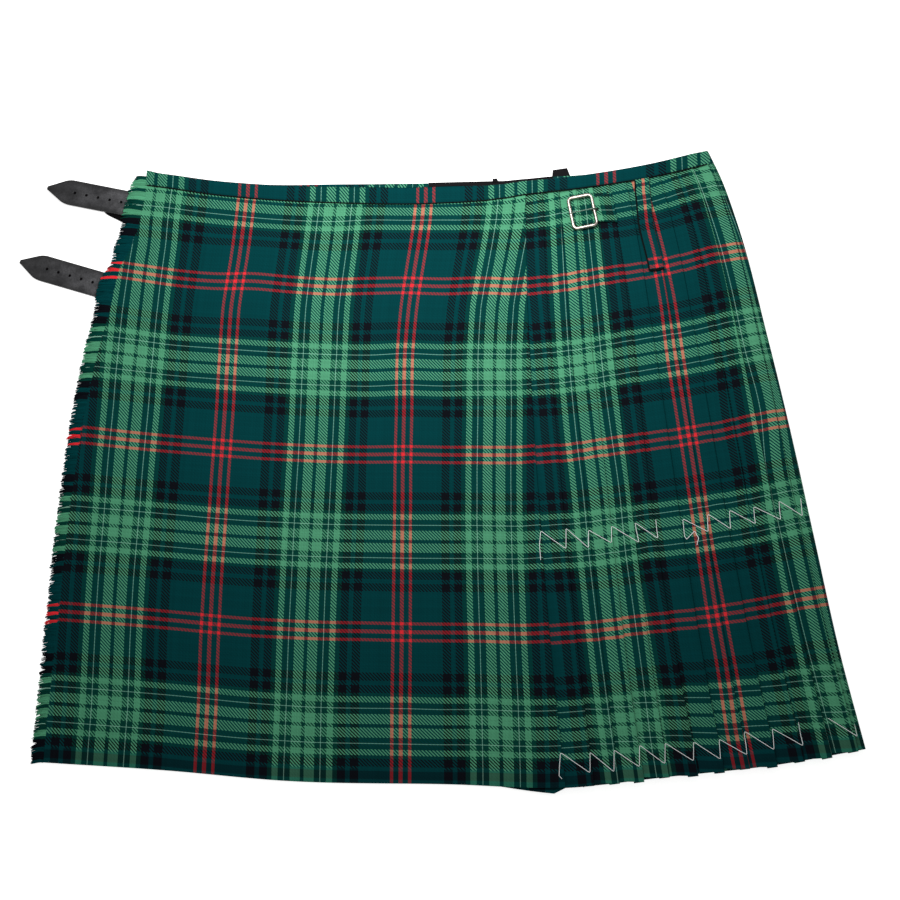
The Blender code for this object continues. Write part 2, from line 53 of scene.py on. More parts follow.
# Widths in pleats: of the apron, of the pleats, and of the part tucked under each fold.
APRON = 21
SIDE = 11.4
TUCK = 0.45
SEAM_HEIGHT = 14.5
SEAM = SEAM_HEIGHT / LENGTH
# Heights: from layer to layer, of the solid's wall, from pleat to pleat, of the pleats' top.
LAYER = 1.5
CAD_WALL = 1.2
PLEAT_STEP = 3
PLEAT_TOP = 10.05

# Edges of the flat kilt.   x, y
WAIST_EDGE = [
    (-320, 299), (-259, 291), (-165, 283), (-90, 281), (0, 281),
    (97, 288), (150, 295), (209, 306), (270, 322),
]
HEM_EDGE = [
    (-381, -303), (-269, -310), (-150, -320), (0, -323), (107, -326),
    (205, -316), (307, -305), (388, -291),
]
# Edges that run from waist to hem.   part of the length, x
LEFT_EDGE = [
    (0, -312), (0.085, -327), (0.17, -337), (0.27, -349), (0.38, -360),
    (0.55, -370), (0.76, -376), (1, -381),
]
APRON_FOLD = [
    (0, 78), (0.20, 78), (0.34, 80.5), (0.60, 88), (0.80, 96), (1, 107),
]
SIDE_FOLD = [
    (0, 269), (0.05, 281), (0.13, 295), (0.33, 319), (0.50, 337),
    (0.66, 352), (0.86, 371), (1, 388),
]


def curve(rows, place):
    """Cubic curve through a table's rows, its slope at each row taken from its neighbours."""
    knots, heights = np.array(rows, float).T
    slopes = np.gradient(heights, knots)
    place = np.clip(place, knots[0], knots[-1])
    i = np.clip(np.searchsorted(knots, place, side="right") - 1, 0, len(knots) - 2)
    width = knots[i + 1] - knots[i]
    u = (place - knots[i]) / width
    rise = heights[i + 1] - heights[i]
    bend_a = slopes[i] * width - rise
    bend_b = rise - slopes[i + 1] * width
    return heights[i] + u * rise + u * (1 - u) * ((1 - u) * bend_a + u * bend_b)


def from_table(rows, knots, place, levels, level):
    """Value from a table: a smooth curve through each row, blended evenly from row to row."""
    curves = np.stack([curve(list(zip(knots, row)), place) for row in rows])
    shares = np.stack([np.interp(level, levels, one) for one in np.eye(len(rows))])
    return (curves * shares).sum(0)


def stacked(*parts):
    """Arrays brought to one shape and put side by side, as coordinates."""
    return np.stack(np.broadcast_arrays(*parts), -1)


def joined(*parts):
    return np.concatenate(parts)


def ease(start, end, value):
    """0 before start, 1 after end, and a soft S between them: 3 t squared less 2 t cubed."""
    t = np.clip((value - start) / (end - start), 0, 1)
    return t * t * (3 - 2 * t)


def across(place, down):
    """x of a line, place pleat widths from the apron's fold: an even share of the width."""
    fold = curve(APRON_FOLD, down)
    left = fold + (fold - curve(LEFT_EDGE, down)) * place / APRON
    right = fold + (curve(SIDE_FOLD, down) - fold) * place / SIDE
    return np.where(np.asarray(place) < 0, left, right)


def along(place, down):
    """y of the same line: an even share of the way from the waist's edge to the hem's."""
    waist = curve(WAIST_EDGE, across(place, 0))
    hem = curve(HEM_EDGE, across(place, 1))
    return (1 - down) * waist + down * hem


def pleat_width(down):
    return (curve(SIDE_FOLD, down) - curve(APRON_FOLD, down)) / SIDE


def lay(place, down, height, shift=0, drop=0):
    """Points in mm from pleat widths, part of the length and mm; drop lowers the hem."""
    moved = place + shift / pleat_width(down)
    y = along(moved, down) - drop * np.maximum(down, 0) ** 6
    return stacked(across(moved, down), y, height)


def put(name, data):
    """New object in the scene."""
    thing = bpy.data.objects.new(name, data)
    bpy.context.scene.collection.objects.link(thing)
    return thing


def put_mesh(name, points, faces, chart=None, crease_deg=40, chart_name="weave"):
    """Mesh object from points in mm and faces; chart is each point's place in the weave, in mm."""
    mesh = bpy.data.meshes.new(name)
    mesh.from_pydata(((points + CENTRE) * MM).tolist(), [], faces)
    if chart is not None:
        corner = np.empty(len(mesh.loops), np.int32)
        mesh.loops.foreach_get("vertex_index", corner)
        layer = mesh.uv_layers.new(name=chart_name)
        layer.data.foreach_set("uv", (chart[corner] * MM).astype(np.float32).ravel())
    mesh.polygons.foreach_set("use_smooth", np.ones(len(mesh.polygons), bool))
    mesh.set_sharp_from_angle(angle=math.radians(crease_deg))
    mesh.update()
    return put(name, mesh)


def face_inward(points, quads, middle=0):
    """True if the cells' fronts look towards the middle, so that they need turning over."""
    a, b, c, d = (points[quads[:, i]] for i in range(4))
    return (np.cross(c - a, d - b) * ((a + b + c + d) / 4 - middle)).sum() < 0


def cloth_wall(name, outer, inner, chart, keep=None):
    """Closed wall of cloth: the outer grid's cells, the inner grid's cells turned over, and a
    strip of cells round every free edge.  keep leaves cells out, for slots."""
    lines, rows = outer.shape[:2]
    under = lines * rows
    index = np.arange(under).reshape(lines, rows)
    cell = np.stack([index[:-1, :-1], index[:-1, 1:], index[1:, 1:], index[1:, :-1]], -1)
    cell = cell.reshape(-1, 4) if keep is None else cell[keep]
    edge = np.stack([cell, np.roll(cell, -1, 1)], -1).reshape(-1, 2)
    _, first, count = np.unique(edge.min(1) * under + edge.max(1),
                                return_index=True, return_counts=True)
    start, end = edge[first[count == 1]].T
    rim = np.stack([end, start, start + under, end + under], -1)
    used, faces = np.unique(joined(cell, cell[:, ::-1] + under, rim), return_inverse=True)
    faces = faces.reshape(-1, 4)
    points = joined(outer.reshape(-1, 3), inner.reshape(-1, 3))[used]
    chart = np.broadcast_to(chart, outer.shape[:2] + (2,)).reshape(-1, 2)
    if face_inward(points, faces):
        faces = faces[:, ::-1]
    return put_mesh(name, points, faces.tolist(), joined(chart, chart)[used])


def linear(hex_colour):
    """An sRGB hex colour as the linear values that a shader wants."""
    srgb = np.array([int(hex_colour[i:i + 2], 16) for i in (0, 2, 4)]) / 255
    low = srgb / 12.92
    return (*np.where(srgb <= 0.04045, low, ((srgb + 0.055) / 1.055) ** 2.4), 1)


def add_node(tree, kind, feeds=None, **settings):
    """Adds one shader node; each feed is a value, another node's socket, or another node."""
    node = tree.nodes.new("ShaderNode" + kind)
    for key, value in settings.items():
        setattr(node, key, value)
    for key, value in (feeds or {}).items():
        if isinstance(value, bpy.types.Node):
            value = value.outputs[0]
        if isinstance(value, bpy.types.NodeSocket):
            tree.links.new(value, node.inputs[key])
        else:
            node.inputs[key].default_value = value
    return node


def maths(tree, operation, *values):
    return add_node(tree, "Math", dict(enumerate(values)), operation=operation)


def spread(tree, value, low, high, start=0, end=1, **settings):
    """Values from low to high, stretched to run from start to end."""
    return add_node(tree, "MapRange", {0: value, 1: low, 2: high, 3: start, 4: end}, **settings)


def mixed(tree, share, first, second, how="MIX"):
    """A colour between two, by share."""
    return add_node(tree, "Mix", {0: share, 6: first, 7: second},
                    data_type="RGBA", blend_type=how).outputs[2]


def texture(tree, kind, scale, place=None, **feeds):
    """A pattern whose scale counts lumps to the metre, or to the mm on the weave's place."""
    place = place or add_node(tree, "TexCoord").outputs["Object"]
    return add_node(tree, "Tex" + kind, {"Vector": place, "Scale": scale, **feeds})


def toned(tree, colour, value):
    return add_node(tree, "HueSaturation", {"Value": value, "Color": colour})


def new_material(name, roughness, specular=0.5, **constants):
    """Material with one Principled shader; returns it with its node tree."""
    material = bpy.data.materials.new(name)
    material.use_nodes = True
    inputs = material.node_tree.nodes["Principled BSDF"].inputs
    inputs["Roughness"].default_value = roughness
    inputs["Specular IOR Level"].default_value = specular
    for key, value in constants.items():
        inputs[key.replace("_", " ")].default_value = value
    return material, material.node_tree


def to_shader(tree, value, socket="Base Color"):
    value = value.outputs[0] if isinstance(value, bpy.types.Node) else value
    tree.links.new(value, tree.nodes["Principled BSDF"].inputs[socket])


def relief(tree, height, strength, depth_mm=0.2):
    """Bumps too fine to model."""
    to_shader(tree, add_node(tree, "Bump", {
        "Strength": strength, "Distance": depth_mm * MM, "Height": height,
    }), "Normal")


def dress(piece, material, node=None, body="kilt"):
    """Gives a piece its material, its body and the node that it stands for."""
    piece.data.materials.append(material)
    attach(piece, body)
    if node:
        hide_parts(node)


# Half of the check, from the middle of the three red lines outwards: the last mm
# of each band, and the dye of its yarn.
WARP_REPEAT = 182.5
WEFT_REPEAT = 177.0
RED = "de2c34"
TEAL = "00373a"
BLACK = "0c0e14"
BOTTLE = "03382f"
GREEN = "4d936f"
PALE = "84b49f"
HALF_CHECK = [
    (1.45, RED), (6.55, TEAL), (9.5, RED), (38.6, TEAL), (46.4, BLACK), (50.9, TEAL),
    (58.3, BLACK), (62.6, BOTTLE), (68.1, GREEN), (73.45, BOTTLE), (74.4, PALE),
    (79.7, BOTTLE), (89.2, GREEN), (91.25, BOTTLE),
]
# The weft's black bands were beaten up 1.1 mm further out.
WEFT_CHECK = [(mm + (1.1 if 38 < mm < 60 else 0), dye) for mm, dye in HALF_CHECK]
# The real twill repeats every 2.1 mm; drawn at 3.3 mm so that its lines still show.
TWILL_MM = 3.3
YARN_MM = 0.9
# mm down the check where the plain, flat selvedge starts, 12 mm above the hem.
SELVEDGE = 483.0


def dye_bands(tree, mm, repeat, check):
    """Yarn colour: distance from the nearest red middle, as a half repeat's share, looked up
    in the check's bands."""
    turns = maths(tree, "ADD", maths(tree, "DIVIDE", mm, repeat), 0.5)
    turns = maths(tree, "SUBTRACT", maths(tree, "FRACT", turns), 0.5)
    share = maths(tree, "MULTIPLY", maths(tree, "ABSOLUTE", turns), 2)
    ramp = add_node(tree, "ValToRGB", {0: share})
    ramp.color_ramp.interpolation = "CONSTANT"
    bands = ramp.color_ramp.elements
    bands.remove(bands[1])
    bands[0].color = linear(check[0][1])
    for (end, _), (_, dye) in zip(check, check[1:]):
        bands.new(end / check[-1][0]).color = linear(dye)
    return ramp


def yarn_shade(tree, mm, seed):
    """Brightness of one yarn: a fixed random value for each yarn's width."""
    count = maths(tree, "ADD", maths(tree, "DIVIDE", mm, YARN_MM), seed)
    count = maths(tree, "FLOOR", count)
    return add_node(tree, "TexWhiteNoise", {"W": count}, noise_dimensions="1D")


def weave_place(tree):
    """mm in the weave from the piece's chart: the point, then across and down."""
    weave = add_node(tree, "UVMap", uv_map="weave")
    weave = add_node(tree, "VectorMath", {0: weave, "Scale": 1000}, operation="SCALE")
    return weave, *add_node(tree, "SeparateXYZ", {0: weave}).outputs[:2]


# Dyed worsted wool, milled and pressed: matt, with little shine.  Warp and weft show by
# turns along the twill's diagonals, so crossings mix their dyes; the red yarns are the
# finest, so theirs blend most, and look peach where they cross the pale line.
TARTAN, tree = new_material("worsted_wool_twill", 0.85, 0.04)
weave, across_mm, down_mm = weave_place(tree)
lean = maths(tree, "DIVIDE", maths(tree, "SUBTRACT", across_mm, down_mm), TWILL_MM)
lean = maths(tree, "PINGPONG", lean, 0.5)
over = spread(tree, lean, 0.215, 0.265, interpolation_type="SMOOTHSTEP")
edge = spread(tree, down_mm, SELVEDGE - 0.7, SELVEDGE + 0.7)
over = add_node(tree, "Mix", {0: edge, 2: over, 3: 0.6})
# Dyes mix as the eye sees them, so they are blended on a gamma of 2.2.
warp, weft = (
    add_node(tree, "Gamma", {0: dye_bands(tree, mm, repeat, check), 1: 1 / 2.2})
    for mm, repeat, check in [
        (across_mm, WARP_REPEAT, HALF_CHECK), (down_mm, WEFT_REPEAT, WEFT_CHECK)]
)
parts = [add_node(tree, "SeparateColor", {0: yarn}).outputs for yarn in (warp, weft)]
red = maths(tree, "MAXIMUM", parts[0][0], parts[1][0])
green = maths(tree, "MAXIMUM", parts[0][1], parts[1][1])
blend = spread(tree, red, 0.42, 0.5, 0, 0.75)
over = add_node(tree, "Mix", {0: blend, 2: over, 3: 0.5})
pale = maths(tree, "MULTIPLY", spread(tree, green, 0.4, 0.5, 0, 0.5), blend)
peach = mixed(tree, 1, weft, warp, "LIGHTEN")
dyed = mixed(tree, pale, mixed(tree, over, weft, warp), peach)
dyed = add_node(tree, "Gamma", {0: dyed, 1: 2.2})
shade = maths(tree, "ADD", yarn_shade(tree, across_mm, 0.37), yarn_shade(tree, down_mm, 71.13))
cloud = texture(tree, "Noise", 0.035, weave, Detail=3)
fuzz = texture(tree, "Noise", 0.9, weave, Detail=2)
shade = maths(tree, "ADD", maths(tree, "ADD", shade, cloud), fuzz)
# Painted shade: the colour gets lighter and darker along the twill's diagonals, with the same lean
# that raises its ridges in the relief, so the hollows between the ridges are drawn darker.
shade = maths(tree, "MULTIPLY_ADD", lean, 1.6, shade)
tone = toned(tree, dyed, spread(tree, shade, 1.2, 3.6, 0.85, 1.15))
to_shader(tree, tone)
relief(tree, maths(tree, "MULTIPLY_ADD", fuzz, 0.5, lean), 0.5, 0.25)

CHECK_LENGTH = 604
FIRST_WEFT = 109


def in_tartan(node, outer, inner, chart, keep=None):
    """A piece of the same cloth, in place of one node."""
    piece = cloth_wall(node + "_cloth", outer, inner, chart, keep)
    dress(piece, TARTAN, node)
    return piece


def weft_mm(down):
    """mm down the check from its first red middle, which lies FIRST_WEFT below the waist."""
    return CHECK_LENGTH * down - FIRST_WEFT


def shoulder(place):
    """Height of the hidden pleats under the edge of the aprons."""
    return PLEAT_STEP * ease(-1.4, -0.12, place)


UNDER_THICK = 1
UNDER_START = 30
place = np.linspace(-APRON + 0.7, TUCK, 90)[:, None]
down = np.linspace(SEAM, 1, 60)[None, :]
base = np.minimum(shoulder(place), shoulder(-0.1)) + 0 * down
lower = lay(place, down, base)
chart = stacked(lower[..., 0] + UNDER_START, weft_mm(down))
under_apron = in_tartan("under_apron", lay(place, down, base + UNDER_THICK), lower, chart)

# ---------- back pleats
# The hidden half of the pleated length: the same strip, folded in pressed knife pleats,
# outer face down.

BACK_FOLDS = 10
TURN_OUT = (LAYER + CAD_WALL) / 2
TURN_IN = (LAYER - CAD_WALL) / 2


def half_turn(place, shift, middle, outer_reach, inner_reach, side, upward, steps=5):
    """Profile rows round a fold: a half circle about (shift, middle), to the right for side 1
    and the left for -1, from below to above where upward is 1."""
    angle = upward * np.radians(np.linspace(-90, 90, steps))
    cos, sin = np.cos(angle) * side, np.sin(angle)
    return [
        (place, shift + outer_reach * c, middle + outer_reach * s,
         shift + inner_reach * c, middle + inner_reach * s)
        for c, s in zip(cos, sin)
    ]


def swept(profile, down, drops=0):
    """Outer and inner grids of a profile across the kilt, carried from waist to hem.  Its rows
    are place, outer shift and height, inner shift and height."""
    rows = np.stack([stacked(*row, down)[..., :5] for row in profile])
    place, out_x, out_z, in_x, in_z = np.moveaxis(rows, -1, 0)
    return lay(place, down, out_z, out_x, drops), lay(place, down, in_z, in_x, drops)


def developed(outer, inner):
    """mm along the cloth, from the profile's first row: summed steps of the wall's middle."""
    middle = (outer + inner) / 2
    step = np.linalg.norm(np.diff(middle, axis=0), axis=-1)
    return joined(np.zeros_like(step[:1]), np.cumsum(step, 0))


down = np.linspace(SEAM, 1, 40)
# mm from the side's fold to the last edge, under the front's turn.
SIDE_EDGE = 6.4
profile = [(SIDE, -SIDE_EDGE, 0, -SIDE_EDGE, CAD_WALL)]
for fold in range(BACK_FOLDS, -1, -1):
    profile.append((fold + 0.5, 0, 0, 0, CAD_WALL))
    profile += half_turn(fold, 0, TURN_OUT, TURN_OUT, TURN_IN, -1, 1)
    profile.append((fold + TUCK, 0, LAYER + CAD_WALL, 0, LAYER))
    if fold:
        profile += half_turn(fold + TUCK, 0, TURN_OUT + LAYER, TURN_IN, TURN_OUT, 1, 1)[1:]
        profile.append((fold - 0.12, 0, 2 * LAYER, 0, 2 * LAYER + CAD_WALL))
        profile.append((fold - 0.41, 0, 0, 0, CAD_WALL))
outer, inner = swept(profile, down)
chart = stacked(developed(outer, inner), weft_mm(down))
back_pleats = in_tartan("back_pleats", outer, inner, chart)

# ---------- front pleats
# Eleven pressed knife pleats, laid over each other like shingles, sewn down flat to the
# hip and looser towards the hem.  The last one turns round the wearer's side.

FOLDS = 11
FIRST_TUCK = 2.6
FIRST_DROP = 6.5
CLOTH = 0.8
AIR = 0.1
FOLD_OUT = CLOTH + AIR / 2
FOLD_IN = AIR / 2
# Extra mm across of the apron's fold and each pleat's fold.   part of the length, row
FOLD_WANDER = [
    (0, [0] * 12), (0.3, [0] * 12),
    (0.60, [0, 1, 1, 0, -1, -4, -1, 0, -2, -2, -1, -3]),
    (0.95, [0, 2, 1, -1, -2, 0, 0, -1, 0, 1, 2, 2]),
    (1, [0, 2, 1, -1, -2, 0, 0, -1, 0, 1, 2, 2]),
]
# mm to the right and mm up that the check strays on each strip, at these parts of the length.
STRIP_DOWN = [0.06, 0.15, 0.25, 0.35, 0.45, 0.55, 0.65, 0.75, 0.85, 0.95]
STRIP_RIGHT = [
    [-6, -1, -0.5, 0.5, 2, 3.5, 3, 3, 5, 9, 5.5, -1],
    [-6.5, -2, -1, -0.5, 0.5, 3, 4.5, 4.5, 5.5, 9.5, 5.5, 0.5],
    [-5, -3, -2.1, -1, 0, 3.5, 5, 5.5, 4.5, 9.5, 5.5, 4],
    [-4, -4, -3.6, -2, -1, 1.5, 2.5, 4, 5, 7.5, 5, 3],
    [-4, -4, -3.1, -1, 0.5, 1.5, 2, 3, 1.5, 6, 7.5, 5],
    [-3.5, -3, -1.6, 0.5, 2, 2.5, 1.5, 3, 2.5, 5, 2, 1],
    [-3.5, -3.5, -2.1, -0.5, 1, 1.5, 1, 1.5, 0, 2, 2.5, 1.5],
    [-2.5, -3, -1.6, 0.5, 1.5, 1, 1, 1.5, -0.5, 1.5, 2, 3],
    [-3, -2.5, -1.1, 0.5, 0.5, 1, 1.5, 1, -1, 1.5, 1.5, 3],
    [-3, -2.5, -2, -1.5, -2, -2, -1.5, -1.5, -2, 0, 1, 1],
]
STRIP_UP = [
    [-4.5, -3, -1.5, -1.5, -4, -4.5, -4, -3, -1, 0.5, -0.5, -2.5],
    [-5, -5, -3.5, -2.5, -2.5, -3, -3, -1.5, -0.5, 1, -0.5, -2],
    [-7, -6.5, -6, -4.5, -3.5, -3, -2.5, -2, -1, 0.5, -0.5, -2],
    [-5, -5, -4.5, -3, -2, -1.5, -1, -0.5, 0, 0.5, 0, -1],
    [-3.5, -4, -3, -2, -1.5, -1, -1, -0.5, -0.5, 0.5, 0.5, -0.5],
    [-3, -3.5, -2.5, -3, -3, -2.5, -2, -1, -1, -0.5, -0.5, -1],
    [-0.5, -1.5, -1.5, -1, 0.5, 0, 0, 1.5, 1, 1.5, 1.5, 1.5],
    [-0.5, -1, -1, -0.5, 0, 0, 0, 1, 1.5, 2, 2, 1.5],
    [-2, -2.5, -2.5, -1.5, -1.5, -1.5, -1.5, -0.5, 0, 1, 0.5, -0.5],
    [0, 0, 0.5, 0.5, 0.5, 0, 0, 1.5, 2, 2, 0.5, 0],
]
# The cloth is drawn in by the binding's seam: mm, and the part of the length where that ends.
SEAM_DIP = 0.7
SEAM_FADE = 0.006
# mm that each strip hangs low at the hem.
HEM_DROP = [0, 0.6, -0.4, 0.8, -0.6, 0.9, 0.2, -0.8, 0.7, -0.3, 0.8, -0.5, 0.3]
SETT_STEP = WARP_REPEAT / 8
SETT_AT_FOLD_7 = 5
# Lines of the mesh across one strip, as shares of its width.
SHARES = [-TUCK, -0.25, 0, 0.08, 0.2, 0.35, 0.5, 0.65, 0.8, 0.9, 0.96]


def pleat_step(down):
    """Height from one pleat to the next: small where they are sewn down, more at the hem."""
    return 1.85 + 1.15 * ease(0.28, 0.9, down)


def wander(fold, down):
    """mm that one fold strays from even spacing, by the rows above."""
    return curve([(part, moved[fold]) for part, moved in FOLD_WANDER], down)


def strip_top(fold, place, down):
    """Top of the strip that ends in one fold: it rises evenly to it, with a soft crown that
    rolls off over the fold."""
    back = fold - place
    crown = 0.5 * ease(0.25, 0.9, down) * np.sin(math.pi * np.clip(back, 0, 1)) ** 2
    return PLEAT_TOP - pleat_step(down) * back + crown


def on_strips(rows, strip, down):
    """A table's value down the length, on a strip's number that may lie between two strips."""
    return from_table(list(zip(*rows)), STRIP_DOWN, down[None, :], range(1, 13), strip[:, None])


down = joined([SEAM, SEAM + 0.0025], np.linspace(SEAM + SEAM_FADE, 1, 110))
dip = SEAM_DIP * (1 - ease(SEAM, SEAM + SEAM_FADE, down))
width = pleat_width(down)
# Beside each row of the profile, its row of the cloth: mm across in the check, strip number,
# share of the strip, drop at the hem.
profile, cloth = [], []
for place in (-FIRST_TUCK, -1.9, -1.4, -0.9, -TUCK):
    top = shoulder(place) + LAYER + CAD_WALL + 0 * down
    profile.append((place, 0, top, 0, top - CLOTH))
    at_fold = SETT_AT_FOLD_7 - 6 * SETT_STEP
    drop = FIRST_DROP * (1 + place / FIRST_TUCK)
    cloth.append((at_fold - (1 + 0.5 * place) * width, 1, 0, drop))
for fold in range(1, FOLDS + 2):
    left, right = wander(fold - 1, down), wander(min(fold, FOLDS), down)
    at_fold = SETT_AT_FOLD_7 + (fold - 7) * SETT_STEP
    ends = SIDE - FOLDS if fold > FOLDS else 1
    for share in SHARES[0 if fold > 1 else 2:]:
        if fold > FOLDS and share > 0.1:
            break
        top = strip_top(fold, fold - 1 + share, down) - dip
        if fold == 1 and share < 0.01:
            top = top - 0.2
        shift = left + (right - left) * max(share, 0)
        profile.append((fold - 1 + share, shift, top, shift, top - CLOTH))
        mm = at_fold - (1 - share) * width - (right - shift)
        cloth.append((mm, fold, share, HEM_DROP[fold]))
    if fold > FOLDS:
        break
    top = strip_top(fold, fold, down) - dip
    turn = half_turn(fold, right - FOLD_OUT, top - FOLD_OUT, FOLD_OUT, FOLD_IN, 1, -1, 7)
    profile += turn
    cloth += [(at_fold + 0.3 * i, fold, 1, HEM_DROP[fold]) for i in range(len(turn))]
    under = strip_top(fold, fold - TUCK, down) - dip - 2 * CLOTH - AIR
    profile.append((fold - TUCK, right + 1.5, under, right + 1.5, under + CLOTH))
    inside = at_fold + 2 + TUCK * width
    cloth.append((inside, fold, 1, HEM_DROP[fold]))
    room = pleat_step(down) - 2 * CLOTH - AIR
    profile += half_turn(
        fold - TUCK, right + 1.5, under - room / 2, room / 2, room / 2 + CLOTH, -1, -1, 5)
    next_start = at_fold + SETT_STEP - (1 + TUCK) * width
    for part in np.arange(1, 6) / 5:
        drop = HEM_DROP[fold] + (HEM_DROP[fold + 1] - HEM_DROP[fold]) * part
        cloth.append((inside + (next_start - inside) * part, fold + part, 1 - part, drop))
# The last pleat turns round the side in a half circle.
radius = (strip_top(FOLDS + 1, SIDE, down) - dip) / 2
within = radius - CLOTH
for i, angle in enumerate(np.radians(np.linspace(90, -90, 13))):
    profile.append((
        SIDE, radius * (math.cos(angle) - 1), radius * (1 + math.sin(angle)),
        within * math.cos(angle) - radius, radius + within * math.sin(angle),
    ))
    mm = at_fold - (1 - ends) * width + i * radius * math.pi / 12
    cloth.append((mm, 12, ends, HEM_DROP[-1]))
profile.append((SIDE, -radius - 2, 0 * radius, -radius - 2, CLOTH + 0 * radius))
cloth.append((cloth[-1][0] + 2, 12, ends, HEM_DROP[-1]))
chart_x = stacked(*[row[0] for row in cloth]).T
strip, share, drops = np.array([row[1:] for row in cloth], float).T
# Every strip hangs level, so its rows and its hem step up at each fold where the hem rises.
STEP_UP = 3.1
saw = STEP_UP * (share - 0.5) * (strip > 1)
chart_x = chart_x - on_strips(STRIP_RIGHT, strip, down)
chart_y = (weft_mm(down) + on_strips(STRIP_UP, strip + share - 0.5, down)
           - saw[:, None] * (ease(0.66, 0.93, down) - down ** 6))
drops = drops + saw
outer, inner = swept(profile, down, drops[:, None])
chart = stacked(chart_x, chart_y)
front_pleats = in_tartan("front_pleats", outer, inner, chart)

# ---------- over apron
# The outer end of the strip, flat on top.  Its free edge is frayed into the
# fringe, its other edge is folded under, and it rides up where the straps lie under it.

# Where the straps lift the edge: first and last part of the length, mm.
STRAP_LIFTS = [(-0.05, 0.090, 2.95), (0.160, 0.250, 0.95)]
LIFT_FADE = 0.033
APRON_RETURN = 1.5
APRON_START = 46.5
# mm that the selvedge at the hem curls down.
HEM_ROLL = 0.8
# mm in from the edge line where the weave starts, since it is frayed unevenly.   part, mm
FRAY_IN = [
    (0, 0), (0.03, 2), (0.06, 5.3), (0.09, 6.7), (0.12, 6.3), (0.15, 3.5), (0.168, 0.6),
    (0.21, 0.2), (0.25, 1.3), (0.3, 0.5), (0.4, 0), (1, 0),
]
# How far the check's upright lines lean, by height on the kilt.   y, mm to the right
LEAN = [
    (-330, 0), (-116, 0), (-67, 1), (-16, 1), (35, 2), (87, 3), (140, 6), (222, 15), (278, 20),
    (300, 22),
]


def strap_lift(place, down):
    """Extra height of the over apron's edge where it lies on the straps."""
    lift = 0
    for first, last, height in STRAP_LIFTS:
        rise = ease(first - LIFT_FADE, first, down) * (1 - ease(last, last + LIFT_FADE, down))
        lift = lift + height * rise
    return lift * (1 - ease(-APRON + 1, -APRON + 4, place))


def apron_top(place, down):
    """Top of the over apron: it rides up on the first pleat's layers to its own fold, less
    steeply than a pleat where the pleats are sewn down."""
    layers = 1 + ease(-FIRST_TUCK - 1.2, -FIRST_TUCK, place)
    layers = layers + ease(-APRON_RETURN - 0.8, -APRON_RETURN, place)
    top = shoulder(place) + LAYER * layers + CAD_WALL + PLEAT_STEP * np.maximum(0, place + TUCK)
    near = np.minimum(-place, TUCK) * (1 - ease(TUCK, 3, -place))
    return top + (PLEAT_STEP - pleat_step(down)) * near + strap_lift(place, down)


# mm that the waist binding's seam hangs below its even line.   x, mm
SEAM_SAG = [
    (-330, 0), (-290, 0), (-207, 1.2), (-155, 1.6), (-119, 2.1), (-83, 2.5), (-31, 2.3), (0, 1.4),
    (31, 1.6), (49, 1.3), (90, 0.3), (130, 0), (270, 0),
]


def seam_sag(place):
    return curve(SEAM_SAG, across(place, SEAM))


# mm to the right and mm up that the check strays besides, because the cloth isn't quite
# flat, on lines across the kilt: a row for each y.
STRAY_X = [-360, -320, -280, -240, -200, -160, -120, -80, -45, -10, 30, 70]
STRAY_Y = [-310, -250, -190, -130, -70, -10, 50, 100, 150, 200, 245, 270]
STRAY_RIGHT = [
    [-1, -1.5, -1.5, -0.5, 0, 0, -0.5, 0, 0.5, 2, 3, 3.5],
    [0, 0, 0, 0.5, 1, 1, -0.5, 0, 0.5, 1.5, 2.5, 2.5],
    [-0.5, -1, -1.5, 0, 1, 1.5, 0.5, 0.5, 1, 1, 1.5, 0.5],
    [-1, -1.5, -1.5, 0.5, 1, 2.5, 1, 1, 0.5, 0, -0.5, -1.5],
    [-1, -1, -1, 1, 1.5, 2.5, 1.5, 1.6, -1, -2, -2.5, -4],
    [-1, 0, 0.5, 2.5, 3, 4.5, 3.5, 1.9, -1, -1.5, -2, -3.5],
    [-0.7, 1, 1.5, 3, 3.5, 4.5, 3.5, 2.2, -1.5, -2, -2, -3.5],
    [-1.5, 1, 1.5, 2.5, 2.5, 4, 3.5, 1.3, -2.5, -2.5, -3, -4.5],
    [-3, 0, 0, 0.5, 0.5, 2, 1.5, 0.1, -2, -2, -3, -4.5],
    [-2, -2.5, -2, 0, 0.5, 1, 1, 0, -1, -0.5, 0, -1],
    [-1, -3.5, -4, -1, 0, 1, 1, 0, 0.5, 1, 3, 2.5],
    [-3, -4, -4.5, -1.5, -0.5, 1, 1, 0, 0.5, 0.5, 3, 2.5],
]
STRAY_UP = [
    [1.5, 1, 1, 0, 0, 1, 1, 1, 0.5, 0.5, 1.5, 2],
    [2.5, 2, 1.5, 1, 0.5, 0.5, 0, 0, 0, -0.5, 0.5, 0],
    [1.5, 1.5, 1, 0.5, 0.5, 1, 1, 1, 0.5, 0.5, 1, 0.5],
    [2.5, 2.5, 2, 1.5, 1.5, 2, 1.5, 1.5, 1, 1, 1.5, 1],
    [1, 1, 0.5, 0, 0, 0.5, 0, 0, 0, 0, 0, -1.5],
    [1.5, 0.5, 0, 0, 0, 0, -0.5, -0.5, 0, -0.5, -1, -2.5],
    [2, 1.5, 0.5, 0, 0, -0.5, -1, -1.5, 0, -1, -1, -3],
    [1.5, 0.5, -1.5, -1.5, -1.5, -1.5, -2, -2, 0, -1.5, -2, -5],
    [1.5, -0.5, -2.5, -2, 0.5, -0.5, -1.5, 0, 1, -0.5, -1, -5.5],
    [1, 0, -1, -1, 2.5, 1, 0, 1.5, 2, 1, 0, -5],
    [1.5, 0.5, 1, 0.5, -0.5, -1, -1, 1.5, 1.5, 1.5, -0.5, -4],
    [2, 0.5, 1, 1, 0.5, 0, 1, 0, 0, 0.5, 0.5, 0],
]


